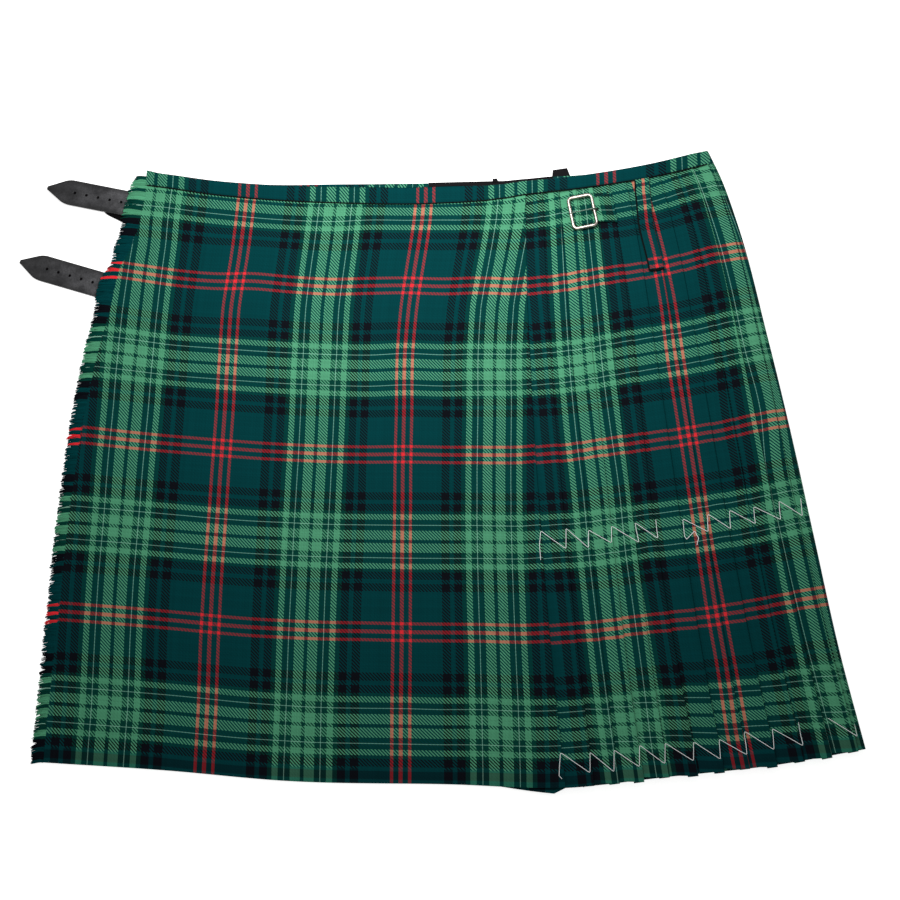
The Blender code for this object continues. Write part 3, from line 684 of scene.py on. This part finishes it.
down = joined(SEAM + 0.0015 * np.arange(8), np.linspace(SEAM + 0.016, 0.975, 114),
              [0.98, 0.985, 0.99, 0.995, 1])
place = joined(np.linspace(-APRON, -4, 90)[:-1], np.linspace(-4, -0.5, 24), [-0.3, -0.15, -0.08])
profile = []
for p in place:
    seam = SEAM + seam_sag(p) / LENGTH
    dip = SEAM_DIP * (1 - ease(seam, seam + SEAM_FADE, down)) + HEM_ROLL * ease(0.975, 1, down)
    top = apron_top(p, down) - dip
    shift = curve(FRAY_IN, down) * max(0, 1 - (p + APRON) / 1.2)
    profile.append((p, shift, top, shift, top - CLOTH))
top = apron_top(0, down) - dip
profile += half_turn(0, -FOLD_OUT, top - FOLD_OUT, FOLD_OUT, FOLD_IN, 1, -1, 7)
for p in (-0.2, -0.45, -0.8, -1.2, -APRON_RETURN):
    under = apron_top(p, down) - dip - 2 * CLOTH - AIR
    profile.append((p, 0, under, 0, under + CLOTH))
outer, inner = swept(profile, down)
x, y = outer[..., 0], outer[..., 1]
right, up = (from_table(rows, STRAY_X, x, STRAY_Y, y) for rows in (STRAY_RIGHT, STRAY_UP))
chart = stacked(x - curve(LEAN, y) + APRON_START - right, weft_mm(down) + up)
turned = developed(outer, inner)
edge = len(place) + 1
chart[edge:, :, 0] = chart[edge, :, 0] + turned[edge:] - turned[edge]
over_apron = in_tartan("over_apron", outer, inner, chart)

# ---------- fringe
# The warp yarns of the free edge are drawn out, so that the weft's ends stand free:
# soft dyed yarn ends 9 to 18 mm long, in the weft's colours, lying a little down.

YARNS = 1500
YARN_RADIUS = 0.6
# mm that the yarns run back under the weave.
ROOT = 1.5
# mm that the yarn ends reach beyond the weave.   part of the length, mm
FRAY_LENGTH = [
    (0, 9), (0.02, 13.5), (0.05, 15.5), (0.075, 17.5), (0.09, 15.5), (0.14, 15.5), (0.165, 10.5),
    (0.18, 12), (0.195, 15), (0.21, 16.3), (0.25, 14), (0.3, 13.8), (0.4, 12.5), (0.55, 11.3),
    (1, 10.8),
]


def tubes(name, path, radius, sides=8, normal=(0, 0, 1), closed=False, chart=None, crease=40):
    """Tubes along paths, indexed tube, step: at each step a circle in the plane of the path's
    side and upright directions.  The ends are capped, unless the path is closed."""
    if path.ndim == 2:
        path, radius = path[None], radius[None]
    if closed:
        tangent = np.roll(path, -1, 1) - np.roll(path, 1, 1)
    else:
        tangent = np.gradient(path, axis=1)
    tangent /= np.linalg.norm(tangent, axis=-1, keepdims=True)
    side = np.cross(tangent, np.broadcast_to(normal, tangent.shape))
    side /= np.linalg.norm(side, axis=-1, keepdims=True)
    upright = np.cross(side, tangent)[..., None, :]
    angle = (np.arange(sides) * 2 * math.pi / sides)[:, None]
    circle = np.cos(angle) * side[..., None, :] + np.sin(angle) * upright
    rings = path[..., None, :] + radius[..., None, None] * circle
    index = np.arange(rings[..., 0].size).reshape(rings.shape[:3])
    near = index if closed else index[:, :-1]
    far = np.roll(index, -1, 1) if closed else index[:, 1:]
    quads = np.stack([near, np.roll(near, -1, 2), np.roll(far, -1, 2), far], -1).reshape(-1, 4)
    caps = [] if closed else [index[:, 0, ::-1], index[:, -1]]
    points = rings.reshape(-1, 3)
    if face_inward(points, quads, rings.mean(2).reshape(-1, 3)[quads[:, 0] // sides]):
        quads = quads[:, ::-1]
        caps = [cap[:, ::-1] for cap in caps]
    faces = sum([cap.tolist() for cap in caps], quads.tolist())
    if chart is not None:
        chart = np.broadcast_to(chart, rings.shape[:3] + (2,)).reshape(-1, 2)
    return put_mesh(name, points, faces, chart, crease)


def fringe_root(part, height):
    """Height of the yarns at the cloth's edge, and how far the straps hold them up, 0 to 1."""
    lift = strap_lift(-APRON, part)
    return LAYER + height + lift, np.minimum(1, lift / 0.9)


rng = np.random.default_rng(7)
first = SEAM * 0.35
part = (first + (1 - first) * (np.arange(YARNS) + 0.5) / YARNS)[:, None]
bundle = np.repeat(rng.normal(size=YARNS // 5 + 1), 5)[:YARNS, None]
length = curve(FRAY_LENGTH, part) + 0.5 * bundle + rng.normal(0, 0.6, (YARNS, 1))
droop = 1.6 + 0.9 * bundle + rng.normal(0, 0.5, (YARNS, 1))
run = np.linspace(0, 1, 6)[None, :]
root, held = fringe_root(part, 0.7)
end = held * (root + 0.3) + (1 - held) * (0.7 + 0.4 * np.abs(bundle))
height = root + (end - root) * ease(0, 1, run) + 0.5 * np.sin(math.pi * run)
path = lay(-APRON, part, height, curve(FRAY_IN, part) + ROOT - (length + ROOT) * run)
path[..., 1] += 0.25 * np.sin(run * 5 + rng.uniform(0, 6, (YARNS, 1))) - droop * run ** 2
radius = YARN_RADIUS * (1 - 0.35 * run ** 3) * rng.uniform(0.75, 1.15, (YARNS, 1))
# mm across in the weave, where no line of the warp would show.
WEFT_ONLY = 24
chart = stacked(WEFT_ONLY, weft_mm(part[:, 0]))[:, None, None, :]
fringe = tubes("fringe_yarns", path, radius, 6, chart=chart, crease=80)

# Short broken ends make a thin mat under the long ones, drawn much darker than they are: painted
# shade between and under the long yarns.
part = np.linspace(first, 1, 700)[None, :]
run = np.linspace(0, 1, 7)[:, None]
reach = curve(FRAY_LENGTH, part) - 3.6 + rng.normal(0, 0.5, part.shape)
root, held = fringe_root(part, 0.2)
height = root + (held * 0.3 + (1 - held) * (0.5 - root)) * ease(0, 1, run)
shift = curve(FRAY_IN, part) + ROOT - (reach + ROOT) * run
matted = cloth_wall(
    "fringe_mat", lay(-APRON, part, height, shift), lay(-APRON, part, height - 0.4, shift),
    stacked(WEFT_ONLY, weft_mm(part) + 0 * run))


def weft_yarn(name, dark, light):
    """Loose ends of the same worsted yarn, unpressed: matt and hairy, in the weft's colours,
    lighter and darker from yarn to yarn."""
    made, tree = new_material(name, 0.9, 0.03)
    down_mm = weave_place(tree)[2]
    hairs = texture(tree, "Noise", 900, Detail=3)
    shade = maths(tree, "ADD", yarn_shade(tree, down_mm, 0.5), hairs)
    dyed = dye_bands(tree, down_mm, WEFT_REPEAT, WEFT_CHECK)
    tone = toned(tree, dyed, spread(tree, shade, 0.3, 1.7, dark, light))
    to_shader(tree, tone)
    relief(tree, hairs, 0.5, 0.3)
    return made


dress(fringe, weft_yarn("loose_worsted_yarn", 0.7, 1.3), "fringe")
# The mat's copy of the yarn runs from 0.25 to 0.6 instead of 0.7 to 1.3: painted shade.
dress(matted, weft_yarn("matted_worsted_ends_painted_shade", 0.25, 0.6))

# ---------- waist bands
# A narrow strip of the same cloth, folded over the top edge and sewn down.  The front half
# closes the wearer's side; the back half shows above the front's edge in the middle.

NEAR_WAIST = 0.05
BAND_PROUD = 0.35
BAND_MM = 14.2
BAND_DEPTH = BAND_MM / LENGTH
BAND_ROUND = 1.3
BAND_FOLD = 4.3
# mm down and across in the check where the front binding was cut, and across to the back's.
PLAIN_WEFT = 17
BAND_START = 25
BACK_BAND_SHIFT = 122
# mm that the front band's upper edge and the back band's stand above the even line.   x, mm
TOP_RISE = [
    (-330, 0), (-200, 0.3), (-145, 1), (-83, 1.2), (-52, 1.1), (-31, 1.5), (-10, 2.1), (5, 2.1),
    (20, 1.5), (31, 0.8), (45, 0.2), (60, 0), (270, 0),
]
BACK_RISE = [
    (-330, 0), (-200, 0.8), (-170, 2.2), (-125, 4.6), (-83, 5.6), (-41, 6.6), (0, 6.9), (42, 5.9),
    (73, 4.2), (106, 4.1), (130, 2.8), (160, 1), (190, 0), (270, 0),
]
# mm to the right that the binding's lines stray, because it is eased on by hand.   x, mm
BAND_STRAY = [
    (-330, -6.5), (-287, -5.3), (-217, -2.2), (-199, -1.2), (-134, 0), (-21, 0), (50, 2.1),
    (84, 1.4), (106, 2), (162, 3.8), (242, 8.8), (280, 10),
]


def band_chart(points, depth):
    """Only upright lines show on the binding, because it was cut from the weft's plain ground:
    mm across as on the apron below the seam, and a few mm down inside that ground."""
    x = points[..., 0]
    across_mm = x + BAND_START - curve(BAND_STRAY, x)
    return stacked(across_mm, PLAIN_WEFT + CHECK_LENGTH * depth)


place = joined(np.linspace(-APRON, -4, 70)[:-1], np.linspace(-4, 10.3, 80))[:, None]
bend = 1 - np.cos(np.linspace(0, math.pi / 2, 6))
depth_mm = joined(BAND_ROUND * bend, np.linspace(2.2, 12.6, 9), [13.2, 13.7, BAND_MM])
depth = (depth_mm / BAND_MM)[None, :]
end = 1 - ease(-APRON, -APRON + 0.6, place)
rise = curve(TOP_RISE, across(place, 0)) + 1.5 * end
down = (depth_mm[None, :] - rise * (1 - depth) + seam_sag(place) * depth) / LENGTH
near = np.clip(1 - (1 - depth_mm / BAND_ROUND) ** 2, 0, 1)
rounding = CAD_WALL * (1 - np.sqrt(near)) * (depth_mm < BAND_ROUND)
sunk = rounding + 0.9 * ease(12.9, BAND_MM, depth_mm) - 0.3 * np.sin(math.pi * depth_mm / BAND_MM)
top = np.minimum(apron_top(place, NEAR_WAIST), PLEAT_TOP) + BAND_PROUD - sunk
low = shoulder(place) + LAYER + rounding + strap_lift(place, NEAR_WAIST) + 0 * down
shift = end * (4.3 * depth - 2.8)
outer, inner = lay(place, down, top, shift), lay(place, down, low, shift)
# The binding turns round the side in a half circle.
angle = np.radians(np.linspace(90, 0, 9))[:, None]
roll_x, roll_z = BAND_FOLD * (np.cos(angle) - 1), BAND_FOLD * np.sin(angle)
down = (depth_mm / LENGTH)[None, :]
side_z = BAND_FOLD + roll_z * (1 - sunk / BAND_FOLD)
outer = joined(outer, lay(SIDE, down, side_z, roll_x))
inner = joined(inner, lay(SIDE, down, BAND_FOLD - roll_z, roll_x))
front_band = in_tartan("front_waistband", outer, inner, band_chart(outer, down))


def napped(name, roughness, specular, scale, dark, light, strength, detail=3, **constants):
    """A surface whose fine noise runs from dark to light and stands up as a nap."""
    made, tree = new_material(name, roughness, specular, **constants)
    nap = texture(tree, "Noise", scale, Detail=detail)
    to_shader(tree, mixed(tree, nap, linear(dark), linear(light)))
    if strength:
        relief(tree, nap, strength)
    return made


# Black corespun sewing thread, sunk in the seam: matt, with a fine twist.  Its lines at the
# waist seam and the belt loop are drawn thick and near black, so that they also stand in for
# the shadow in the gaps along those edges: painted shadow.
BLACK_THREAD_AND_SHADOW = napped("black_thread_and_painted_shadow", 0.9, 0.1, 900, "020504", "0c1413", 0.4, 2)


def sewn_line(name, path, thick, thread, taper):
    """A thin tube of thread along a path, thinner at its ends."""
    radius = thick * joined([taper], np.ones(len(path) - 2), [taper])
    dress(tubes(name, path, radius), thread)


# The waist seam's thread line is partly thread and partly painted shadow: the dark gap under the
# band's lower edge.
place = joined(np.linspace(-APRON + 0.05, -4, 70)[:-1], np.linspace(-4, 10.9, 90))
top = np.minimum(apron_top(place, NEAR_WAIST), PLEAT_TOP) + 0.05
down = (SEAM_HEIGHT + 0.35 + seam_sag(place)) / LENGTH
sewn_line("waist_seam_and_shadow", lay(place, down, top), 0.7, BLACK_THREAD_AND_SHADOW, 0.5)

place = np.linspace(-APRON + 0.7, 10.9, 120)[:, None]
rise = curve(BACK_RISE, across(place, 0)) / LENGTH
share = np.array([0, 0.02, 0.06, 0.12, 0.25, 0.4, 0.6, 0.8, 1])[None, :]
down = share * (BAND_DEPTH + rise) - rise
edge = 0.4 * (1 - ease(0, 0.06, share))
shift = -0.3 * (place > 10.85)
outer = lay(place, down, shoulder(place) + CAD_WALL - edge, shift)
inner = lay(place, down, edge + 0 * down, shift)
chart = band_chart(outer, share * SEAM) + np.array([BACK_BAND_SHIFT, 0])
back_band = in_tartan("back_waistband", outer, inner, chart)

# ---------- leather straps
# Black bridle leather, cut to a point, with five punched holes and rounded edges: two
# sewn behind the fringed edge, and the under apron's beneath the upper one.

STRAP_HALF = 13.75
STRAP_TIP = 23
HOLE_RADIUS = 1.4
FIRST_HOLE = 29.6
HOLE_STEP = 12.4


def strap(name, tip_x, tip_y, turn_deg, length, base, thick, holes):
    """A flat outline with holes, filled, given a round edge, then turned and moved as arrays."""
    outline = bpy.data.curves.new(name, "CURVE")
    outline.dimensions = "2D"
    outline.fill_mode = "BOTH"
    edge = min(0.45, thick * 0.4)
    outline.extrude = (thick / 2 - edge) * MM
    outline.bevel_depth = edge * MM
    outline.bevel_resolution = 3
    outline.offset = -edge * MM
    # From the blunt nose along one side to the cut end, and back along the other.
    soft = np.linspace(0, 1, 6)
    turn = soft * math.pi / 2
    x = joined(1.54 * (1 - np.cos(turn)), STRAP_TIP - 6 + 9 * soft, [length])
    y = joined(2.4 * np.sin(turn), STRAP_HALF - 2.2 * (1 - soft) ** 2, [STRAP_HALF])
    rings = [np.stack([np.append(x, x[:0:-1]), np.append(y, -y[:0:-1])], -1)]
    around = np.linspace(0, 2 * math.pi, 24, endpoint=False)
    hole = HOLE_RADIUS * np.stack([np.cos(around), np.sin(around)], -1)
    rings += [hole + (FIRST_HOLE + HOLE_STEP * i, 0) for i in range(holes)]
    for ring in rings:
        spline = outline.splines.new("POLY")
        spline.points.add(len(ring) - 1)
        spline.points.foreach_set("co", np.pad(ring * MM, ((0, 0), (0, 2))).ravel())
        spline.use_cyclic_u = True
    drawn = put(name, outline)
    bpy.context.view_layer.update()
    mesh = bpy.data.meshes.new_from_object(drawn)
    bpy.data.objects.remove(drawn)
    points = np.empty(len(mesh.vertices) * 3)
    corner = np.empty(len(mesh.loops), np.int32)
    start = np.empty(len(mesh.polygons), np.int32)
    mesh.vertices.foreach_get("co", points)
    mesh.loops.foreach_get("vertex_index", corner)
    mesh.polygons.foreach_get("loop_start", start)
    bpy.data.meshes.remove(mesh)
    x, y, z = points.reshape(-1, 3).T / MM
    cos, sin = math.cos(math.radians(turn_deg)), math.sin(math.radians(turn_deg))
    points = stacked(x * cos - y * sin + tip_x, x * sin + y * cos + tip_y, z + base + thick / 2)
    faces = [face.tolist() for face in np.split(corner, start[1:])]
    return put_mesh(name, points, faces, stacked(x, y), 50, "face")


# Black-dyed, waxed and rolled cowhide: satin, with a fine pebble grain and cloudy wax,
# paler away from the tip and darker towards its edges.
LEATHER, tree = new_material("black_bridle_leather", 0.5, 0.45, IOR=1.5)
wax = texture(tree, "Noise", 90, Detail=4)
tint = add_node(tree, "ValToRGB", {0: wax})
for stop, place, colour in zip(tint.color_ramp.elements, (0.35, 0.7), ("1f1f21", "363638")):
    stop.position, stop.color = place, linear(colour)
face = add_node(tree, "UVMap", uv_map="face")
along_strap, beside = add_node(tree, "SeparateXYZ", {0: face}).outputs[:2]
strap_value = spread(tree, along_strap, 0, 0.085, 0.55, 1.9)
edge = spread(tree, maths(tree, "ABSOLUTE", beside), 0.008, 0.0136, 1, 0.35)
speck = spread(tree, texture(tree, "Noise", 700, Detail=2), 0.3, 0.7, 0.6, 1.4)
strap_value = maths(tree, "MULTIPLY", maths(tree, "MULTIPLY", strap_value, edge), speck)
to_shader(tree, toned(tree, tint, strap_value))
to_shader(tree, spread(tree, wax, 0.3, 0.7, 0.42, 0.62), "Roughness")
relief(tree, texture(tree, "Voronoi", 1100), 0.3)

# The rough back of the same hide, dyed through: dead matt, a fine black nap.  It is drawn
# much darker than the strap's face; under the upper strap that darkness is also painted shade.
FLESH_AND_SHADE = napped("black_flesh_side_and_shade", 1, 0.05, 900, "070607", "131113", 0.4)
for name, node, row in [
    ("strap_upper_leather", "strap_upper", (-417.3, 281, -11.9, 100, 2.5, 1.6, 5)),
    ("strap_upper_lining", None, (-416.3, 280.8, -11.9, 62, 2, 0.5, 0)),
    ("strap_lower_leather", "strap_lower", (-440, 199.8, -16.9, 113, 0.5, 1.6, 5)),
    ("strap_lower_lining", None, (-438.5, 199.3, -16.9, 111, 0, 0.5, 0)),
    ("strap_under_leather", "strap_under", (-368.5, 274.6, -27, 60, 0, 1.8, 0)),
]:
    dress(strap(name, *row), LEATHER if row[-1] else FLESH_AND_SHADE, node)

# ---------- hip buckle
# A nickel-plated cast frame with a wire prong.  It turns on its heel bar, which a
# folded tab of the tartan holds; the tab's cut ends are turned in and sewn down.

BUCKLE = np.array([147.6, 252, 13.9])
BUCKLE_TURN = math.radians(10)
FRAME_WIDTH = 24
FRAME_HALF = 17
FRAME_CORNER = 4
FRAME_WIRE = 1.5
FREE_BAR_HEIGHT = 11.95


def at_buckle(x, y, z):
    """Points from mm beside the heel bar: turned about the upright, then moved."""
    cos, sin = math.cos(BUCKLE_TURN), math.sin(BUCKLE_TURN)
    return stacked(x * cos - y * sin, x * sin + y * cos, z) + BUCKLE


# Nickel plate, cast, tumbled and polished: bright and faintly warm, with soft rub marks.
NICKEL, tree = new_material("polished_nickel_plate", 0.2,
                          Metallic=1, Base_Color=linear("cbc0b6"))
rub = texture(tree, "Noise", 350, Detail=3)
to_shader(tree, spread(tree, rub, 0.3, 0.7, 0.16, 0.32), "Roughness")
relief(tree, rub, 0.15)

# Drawn steel wire, dark and green-grey, duller than the frame: painted reflection of the dark
# green cloth around it.
STEEL_PAINTED_REFLECTION = napped("steel_wire_painted_reflection", 0.5, 0.5, 400, "4a5f55", "7d8f82", 0, Metallic=1)
angle = np.radians(joined(*(np.linspace(0, 90, 9) + 90 * quarter for quarter in range(4))))
near, far = -FRAME_CORNER, FRAME_CORNER - FRAME_WIDTH
corner_y = np.repeat([1, 1, -1, -1], 9) * (FRAME_HALF - FRAME_CORNER)
loop_x = np.repeat([near, far, far, near], 9) + FRAME_CORNER * np.cos(angle)
loop_y = corner_y + FRAME_CORNER * np.sin(angle)
loop_z = loop_x * (BUCKLE[2] - FREE_BAR_HEIGHT) / FRAME_WIDTH
# The heel bar is thinner, where the tab and the prong go round it.
wire = FRAME_WIRE + 0.3 - 0.25 * ease(-3, -0.5, loop_x)
buckle_frame = tubes("buckle_frame_metal", at_buckle(loop_x, loop_y, loop_z), wire, 16,
                     closed=True)
dress(buckle_frame, NICKEL, "buckle_frame", "frame")

HOOK_RADIUS = 2.65
PRONG_WIRE = 0.7
hook = np.radians(np.linspace(-190, 62, 22))
straight = np.linspace(0, 1, 12)[1:]
prong_x = joined(HOOK_RADIUS * np.cos(hook), 0.6 - (FRAME_WIDTH + 2.2) * straight)
tip = FREE_BAR_HEIGHT + FRAME_WIRE + 0.9 - BUCKLE[2]
prong_z = joined(HOOK_RADIUS * np.sin(hook),
                 HOOK_RADIUS + (tip - HOOK_RADIUS) * ease(0, 1, straight) ** 0.8)
thick = joined(np.full(22, PRONG_WIRE), PRONG_WIRE - 0.25 * ease(0.1, 0.4, straight))
thick[-1] = 0.3
buckle_prong = tubes("buckle_prong_metal", at_buckle(prong_x, 0, prong_z), thick, 12,
                     (-math.sin(BUCKLE_TURN), math.cos(BUCKLE_TURN), 0))
dress(buckle_prong, STEEL_PAINTED_REFLECTION, "buckle_prong", "prong")

TAB_LENGTH = 21
TAB_SLOT = 4
# mm across and down in the check where the tab was cut.
TAB_WARP = 112.5
TAB_WEFT = 180.1
foot = PLEAT_TOP + 0.25 - BUCKLE[2]
lower = np.linspace(TAB_LENGTH, 0, 22)
upper = lower[::-1]
bend = np.radians(np.linspace(0, 180, 9)[1:-1])
tab_x = joined(lower, -np.sin(bend) - 0.6, upper)
inner_x = joined(lower, -0.25 * np.sin(bend) - 0.3, upper)
level = 0 * lower + foot
tab_out = joined(level, foot + 1 - np.cos(bend), level + 2 - 0.15 * ease(15, 21, upper))
tab_in = joined(level + 0.75, foot + 1 - 0.25 * np.cos(bend), level + 1.25)
across_tab = joined(np.linspace(-1, -0.13, 12), np.linspace(0.13, 1, 12))[None, :]
tab_y = (12 + 5 * np.clip(tab_x, 0, TAB_LENGTH) / TAB_LENGTH)[:, None] * across_tab
# The prong goes through a slot at the fold.
slot_cells = np.ones((len(tab_x) - 1, across_tab.size - 1), bool)
slot_cells[:, 11] = (tab_x[:-1] > TAB_SLOT) & (tab_x[1:] > TAB_SLOT)
edge = 0.25 * np.abs(across_tab) ** 12 * (tab_out[:, None] > foot + 1)
outer = at_buckle(tab_x[:, None], tab_y, tab_out[:, None] - edge)
inner = at_buckle(inner_x[:, None], tab_y, tab_in[:, None])
chart = stacked(tab_x[:, None] + TAB_WARP, TAB_WEFT - outer[..., 1])
buckle_tab = in_tartan("buckle_tab", outer, inner, chart, slot_cells)

# ---------- belt loop
# A folded strip of the tartan, sewn down at both ends and slack between for a belt.  Its
# edge is stitched in black, the thread drawn thick so that it also stands in for the shadow
# along the loop's left edge and round its lower end: painted shadow.

part = np.linspace(0, 1, 40)[None, :]
side = np.array([-7.25, -7, -6.4, -5.2, -3, 0, 3, 5.2, 6.4, 7, 7.25])[:, None]
roll = np.array([0.5, 0.18, 0.02, 0, 0, 0, 0, 0, 0.02, 0.18, 0.5])[:, None]
bow = ease(0, 0.15, part) * (1 - ease(0.5, 1, part))
place = 6.95 - 0.27 * ease(0, 0.55, part) - 0.12 * bow
down = SEAM + 0.0012 + 0.161 * part
base = PLEAT_TOP + 0.3 + 1.5 * np.sin(math.pi * part) ** 2
outer = lay(place, down, base + CAD_WALL - roll, side)
inner = lay(place, down, base + 0 * roll, side)
belt_loop = in_tartan("belt_loop", outer, inner, stacked(side - 8.85, weft_mm(down) - 1))

edge_line = lay(place[0], down[0], base[0] + 0.4, -7.5)
around = np.linspace(0, math.pi, 12)[1:]
end_line = lay(place[0, -1], down[0, -1] + 0.0025 * np.sin(around), PLEAT_TOP + 0.9,
               -7.5 * np.cos(around))
sewn_line("belt_loop_stitching_and_shadow", joined(edge_line, end_line), 0.95, BLACK_THREAD_AND_SHADOW, 0.5)

# ---------- hanger loops
# Two loops of black grosgrain ribbon, doubled and sewn into the back of the waist,
# to hang the kilt up by.

# Black polyester grosgrain: dull, with fine ribs across the ribbon's length.
GROSGRAIN, tree = new_material("black_grosgrain", 0.8, 0.15, Base_Color=linear("0f0d10"))
weave = add_node(tree, "UVMap", uv_map="weave")
weave = add_node(tree, "SeparateXYZ", {0: weave})
ribs = maths(tree, "SINE", maths(tree, "MULTIPLY", weave.outputs[1], 7800))
relief(tree, ribs, 0.5)

BEND = 0.45
RIBBON = 0.25
LOOP_HEIGHT = 2.4
# The ribbon between the loops lies flat on the back band's edge.  Left of the middle loop it
# runs on as a black strip over the back band's edge, standing in for the shade there: painted
# shade.
x = joined(np.linspace(-22, 44, 24), np.linspace(45, 50, 11), np.linspace(52, 107, 22))[:, None]
edge_y = curve(WAIST_EDGE, x)
low_y = edge_y + curve(TOP_RISE, x) + 0.6
high_y = edge_y + curve(BACK_RISE, x) + 0.35 + 1.4 * np.exp(-((x - 47.6) / 1.6) ** 2)
wide = np.linspace(0, 1, 5)[None, :]
height = 1.3 + PLEAT_STEP * ease(52, 75.8, x)
inner = stacked(x, low_y + (high_y - low_y) * wide, height)
ribbon_and_shade_strip = cloth_wall("hanger_ribbon_and_shade_strip", inner + np.array([0, 0, 0.4]), inner,
                         stacked(wide * 6, x))
dress(ribbon_and_shade_strip, GROSGRAIN)
for name, node, x, width, height, tilt_deg, sunk in [
    ("hanger_loop_middle_ribbon", "hanger_loop_middle", 47, 6, 4, 3, 1),
    ("hanger_loop_side_ribbon", "hanger_loop_side", 115.5, 19.5, 11, 9, 0),
]:
    run = np.linspace(0, 1, 24)[:, None]
    wide = np.linspace(-0.5, 0.5, 9)[None, :]
    reach = np.minimum(np.minimum(run, 1 - run) * 2.4, 1)
    bend = np.clip((run - 0.417) / 0.166, 0, 1) * math.pi
    aside = wide * width * (1 - 0.22 * reach) - 0.06 * width * reach
    tilt = math.tan(math.radians(tilt_deg))
    far = BEND + RIBBON
    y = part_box(node)[0].y / MM - CENTRE[1] - sunk + reach * (height - far) + far * np.sin(bend)
    y = y + (aside + 0.5 * width) * tilt
    outer = stacked(x + aside, y, LOOP_HEIGHT - far * np.cos(bend))
    inner = stacked(x + aside, y - RIBBON * np.sin(bend),
                    LOOP_HEIGHT - (BEND - RIBBON) * np.cos(bend))
    piece = cloth_wall(name, outer, inner, stacked(wide * width, run * 2 * height))
    dress(piece, GROSGRAIN, node)

# ---------- basting threads
# White cotton thread in long slack stitches from pleat to pleat, which holds the pressed
# pleats flat until the kilt is first worn.

BASTE_RADIUS = 0.3
# Each row of stitches, as the places where the thread turns.   x, y
BASTE_ROWS = [
    [(87.2, -112.6), (86.3, -97.9), (87.7, -84), (111.8, -101.8), (112.2, -81.1),
     (133.5, -100.8), (133.9, -83.1), (155.8, -95.9), (156.3, -79.1), (182.4, -95.5),
     (179.2, -75.6), (200.8, -91.6), (199.6, -72.2)],
    [(238.2, -97.9), (240.2, -91), (236.6, -84), (228.8, -91.9), (227, -88.8),
     (225.8, -71.8), (249.4, -85), (250.2, -67.2), (271.6, -82.1), (271.5, -63.2),
     (295.8, -77.1), (295.1, -59.7), (320.5, -72.9), (319.9, -54.2), (341.9, -69.2),
     (341.4, -51.2)],
    [(103.6, -318.6), (100.9, -315.5), (102.6, -294.5), (129.7, -313.2), (130.1, -294.1),
     (151.9, -312.3), (152.5, -292.2), (175.6, -307.7), (176.3, -287.7), (199.4, -305),
     (200.2, -285.8), (226, -302.3), (226.7, -284.6), (251.1, -300.8), (250.6, -282.2),
     (275.9, -296.8), (274.7, -274.8), (301.3, -292.2), (301, -272.5), (328.5, -288.6),
     (326.1, -266.5)],
    [(353.4, -262.8), (378.2, -278.9), (380.1, -279.4), (377.5, -261.4)],
]
BASTE_POINTS = 14


def cloth_top(x, y):
    """Height of the front pleats at x and y: place and part of the length are found in steps
    from a first guess, then the strip's own formula gives the height."""
    down = np.full_like(x, 0.5)
    for _ in range(12):
        left, right = across(0, down), across(SIDE, down)
        place = np.clip((x - left) / (right - left) * SIDE, 0.01, SIDE)
        waist = curve(WAIST_EDGE, across(place, 0))
        hem = curve(HEM_EDGE, across(place, 1))
        down = np.clip((waist - y) / (waist - hem), 0, 1)
    fold = np.ceil(place)
    strays = np.stack([wander(k, down) for k in range(12)])
    moved = np.take_along_axis(strays, np.clip(fold, 0, 11).astype(int)[None], 0)[0]
    place = place - moved / pleat_width(down)
    return strip_top(np.ceil(place), place, down)


# White mercerised cotton, two plies twisted: a soft silky line with fine slanting ridges, drawn a
# little greyer in the grooves between the plies: painted shade.
COTTON, tree = new_material("white_basting_cotton", 0.6, 0.3, Sheen_Weight=0.2)
plies = texture(tree, "Wave", 700, Distortion=1)
plies.bands_direction = "DIAGONAL"
tint = mixed(tree, plies.outputs[1], linear("e6eaea"), linear("ffffff"))
to_shader(tree, tint)
relief(tree, plies.outputs[1], 0.4)

for number, row in enumerate(BASTE_ROWS):
    turns = np.array(row)
    run = np.linspace(0, len(turns) - 1, BASTE_POINTS * (len(turns) - 1) + 1)
    x, y = (np.interp(run, np.arange(len(turns)), turns[:, i]) for i in (0, 1))
    soft = np.array([1, 2, 1]) / 4
    x[1:-1], y[1:-1] = np.convolve(x, soft, "valid"), np.convolve(y, soft, "valid")
    # The thread rides on the highest cloth near it, then hangs softly between.
    near = np.lib.stride_tricks.sliding_window_view(np.pad(cloth_top(x, y), 4, "edge"), 9).max(1)
    height = np.convolve(np.pad(near, 2, "edge"), np.ones(5) / 5, "valid") + 0.05
    path = stacked(x, y, height + BASTE_RADIUS)
    sewn_line("basting_row_%d" % number, path, BASTE_RADIUS, COTTON, 0.6)

# ---------- studio, camera
# A pale table that glows a little, as a light table does, and one soft box close above
# the waist, so that the light falls off towards the hem.

bpy.ops.mesh.primitive_plane_add(size=30, location=(0, 0, -0.0003))
floor = bpy.context.object
floor.name = "floor"
paper = new_material("white_paper", 0.9, Base_Color=linear("f4f4f2"),
                     Emission_Color=linear("ffffff"), Emission_Strength=0.75)[0]
floor.data.materials.append(paper)

scene = bpy.context.scene
scene.world = bpy.data.worlds.new("studio")
scene.world.use_nodes = True
sky = scene.world.node_tree.nodes["Background"].inputs
sky["Color"].default_value = (1, 1, 1, 1)
sky["Strength"].default_value = 0.35
light = bpy.data.lights.new("soft_box", "AREA")
light.shape = "DISK"
light.size = 0.4
light.energy = 3.9
lamp = put("soft_box", light)
lamp.location = (0, 0.30, 0.51)
lamp.visible_camera = False

camera = put("camera", bpy.data.cameras.new("camera"))
camera.data.lens = 60
camera.data.sensor_width = 36
camera.data.clip_end = 20
camera.location = (0.02522, -0.39121, 1.42853)
camera.rotation_euler = (math.radians(15.5), 0, 0)
scene.camera = camera
scene.view_settings.view_transform = "Standard"
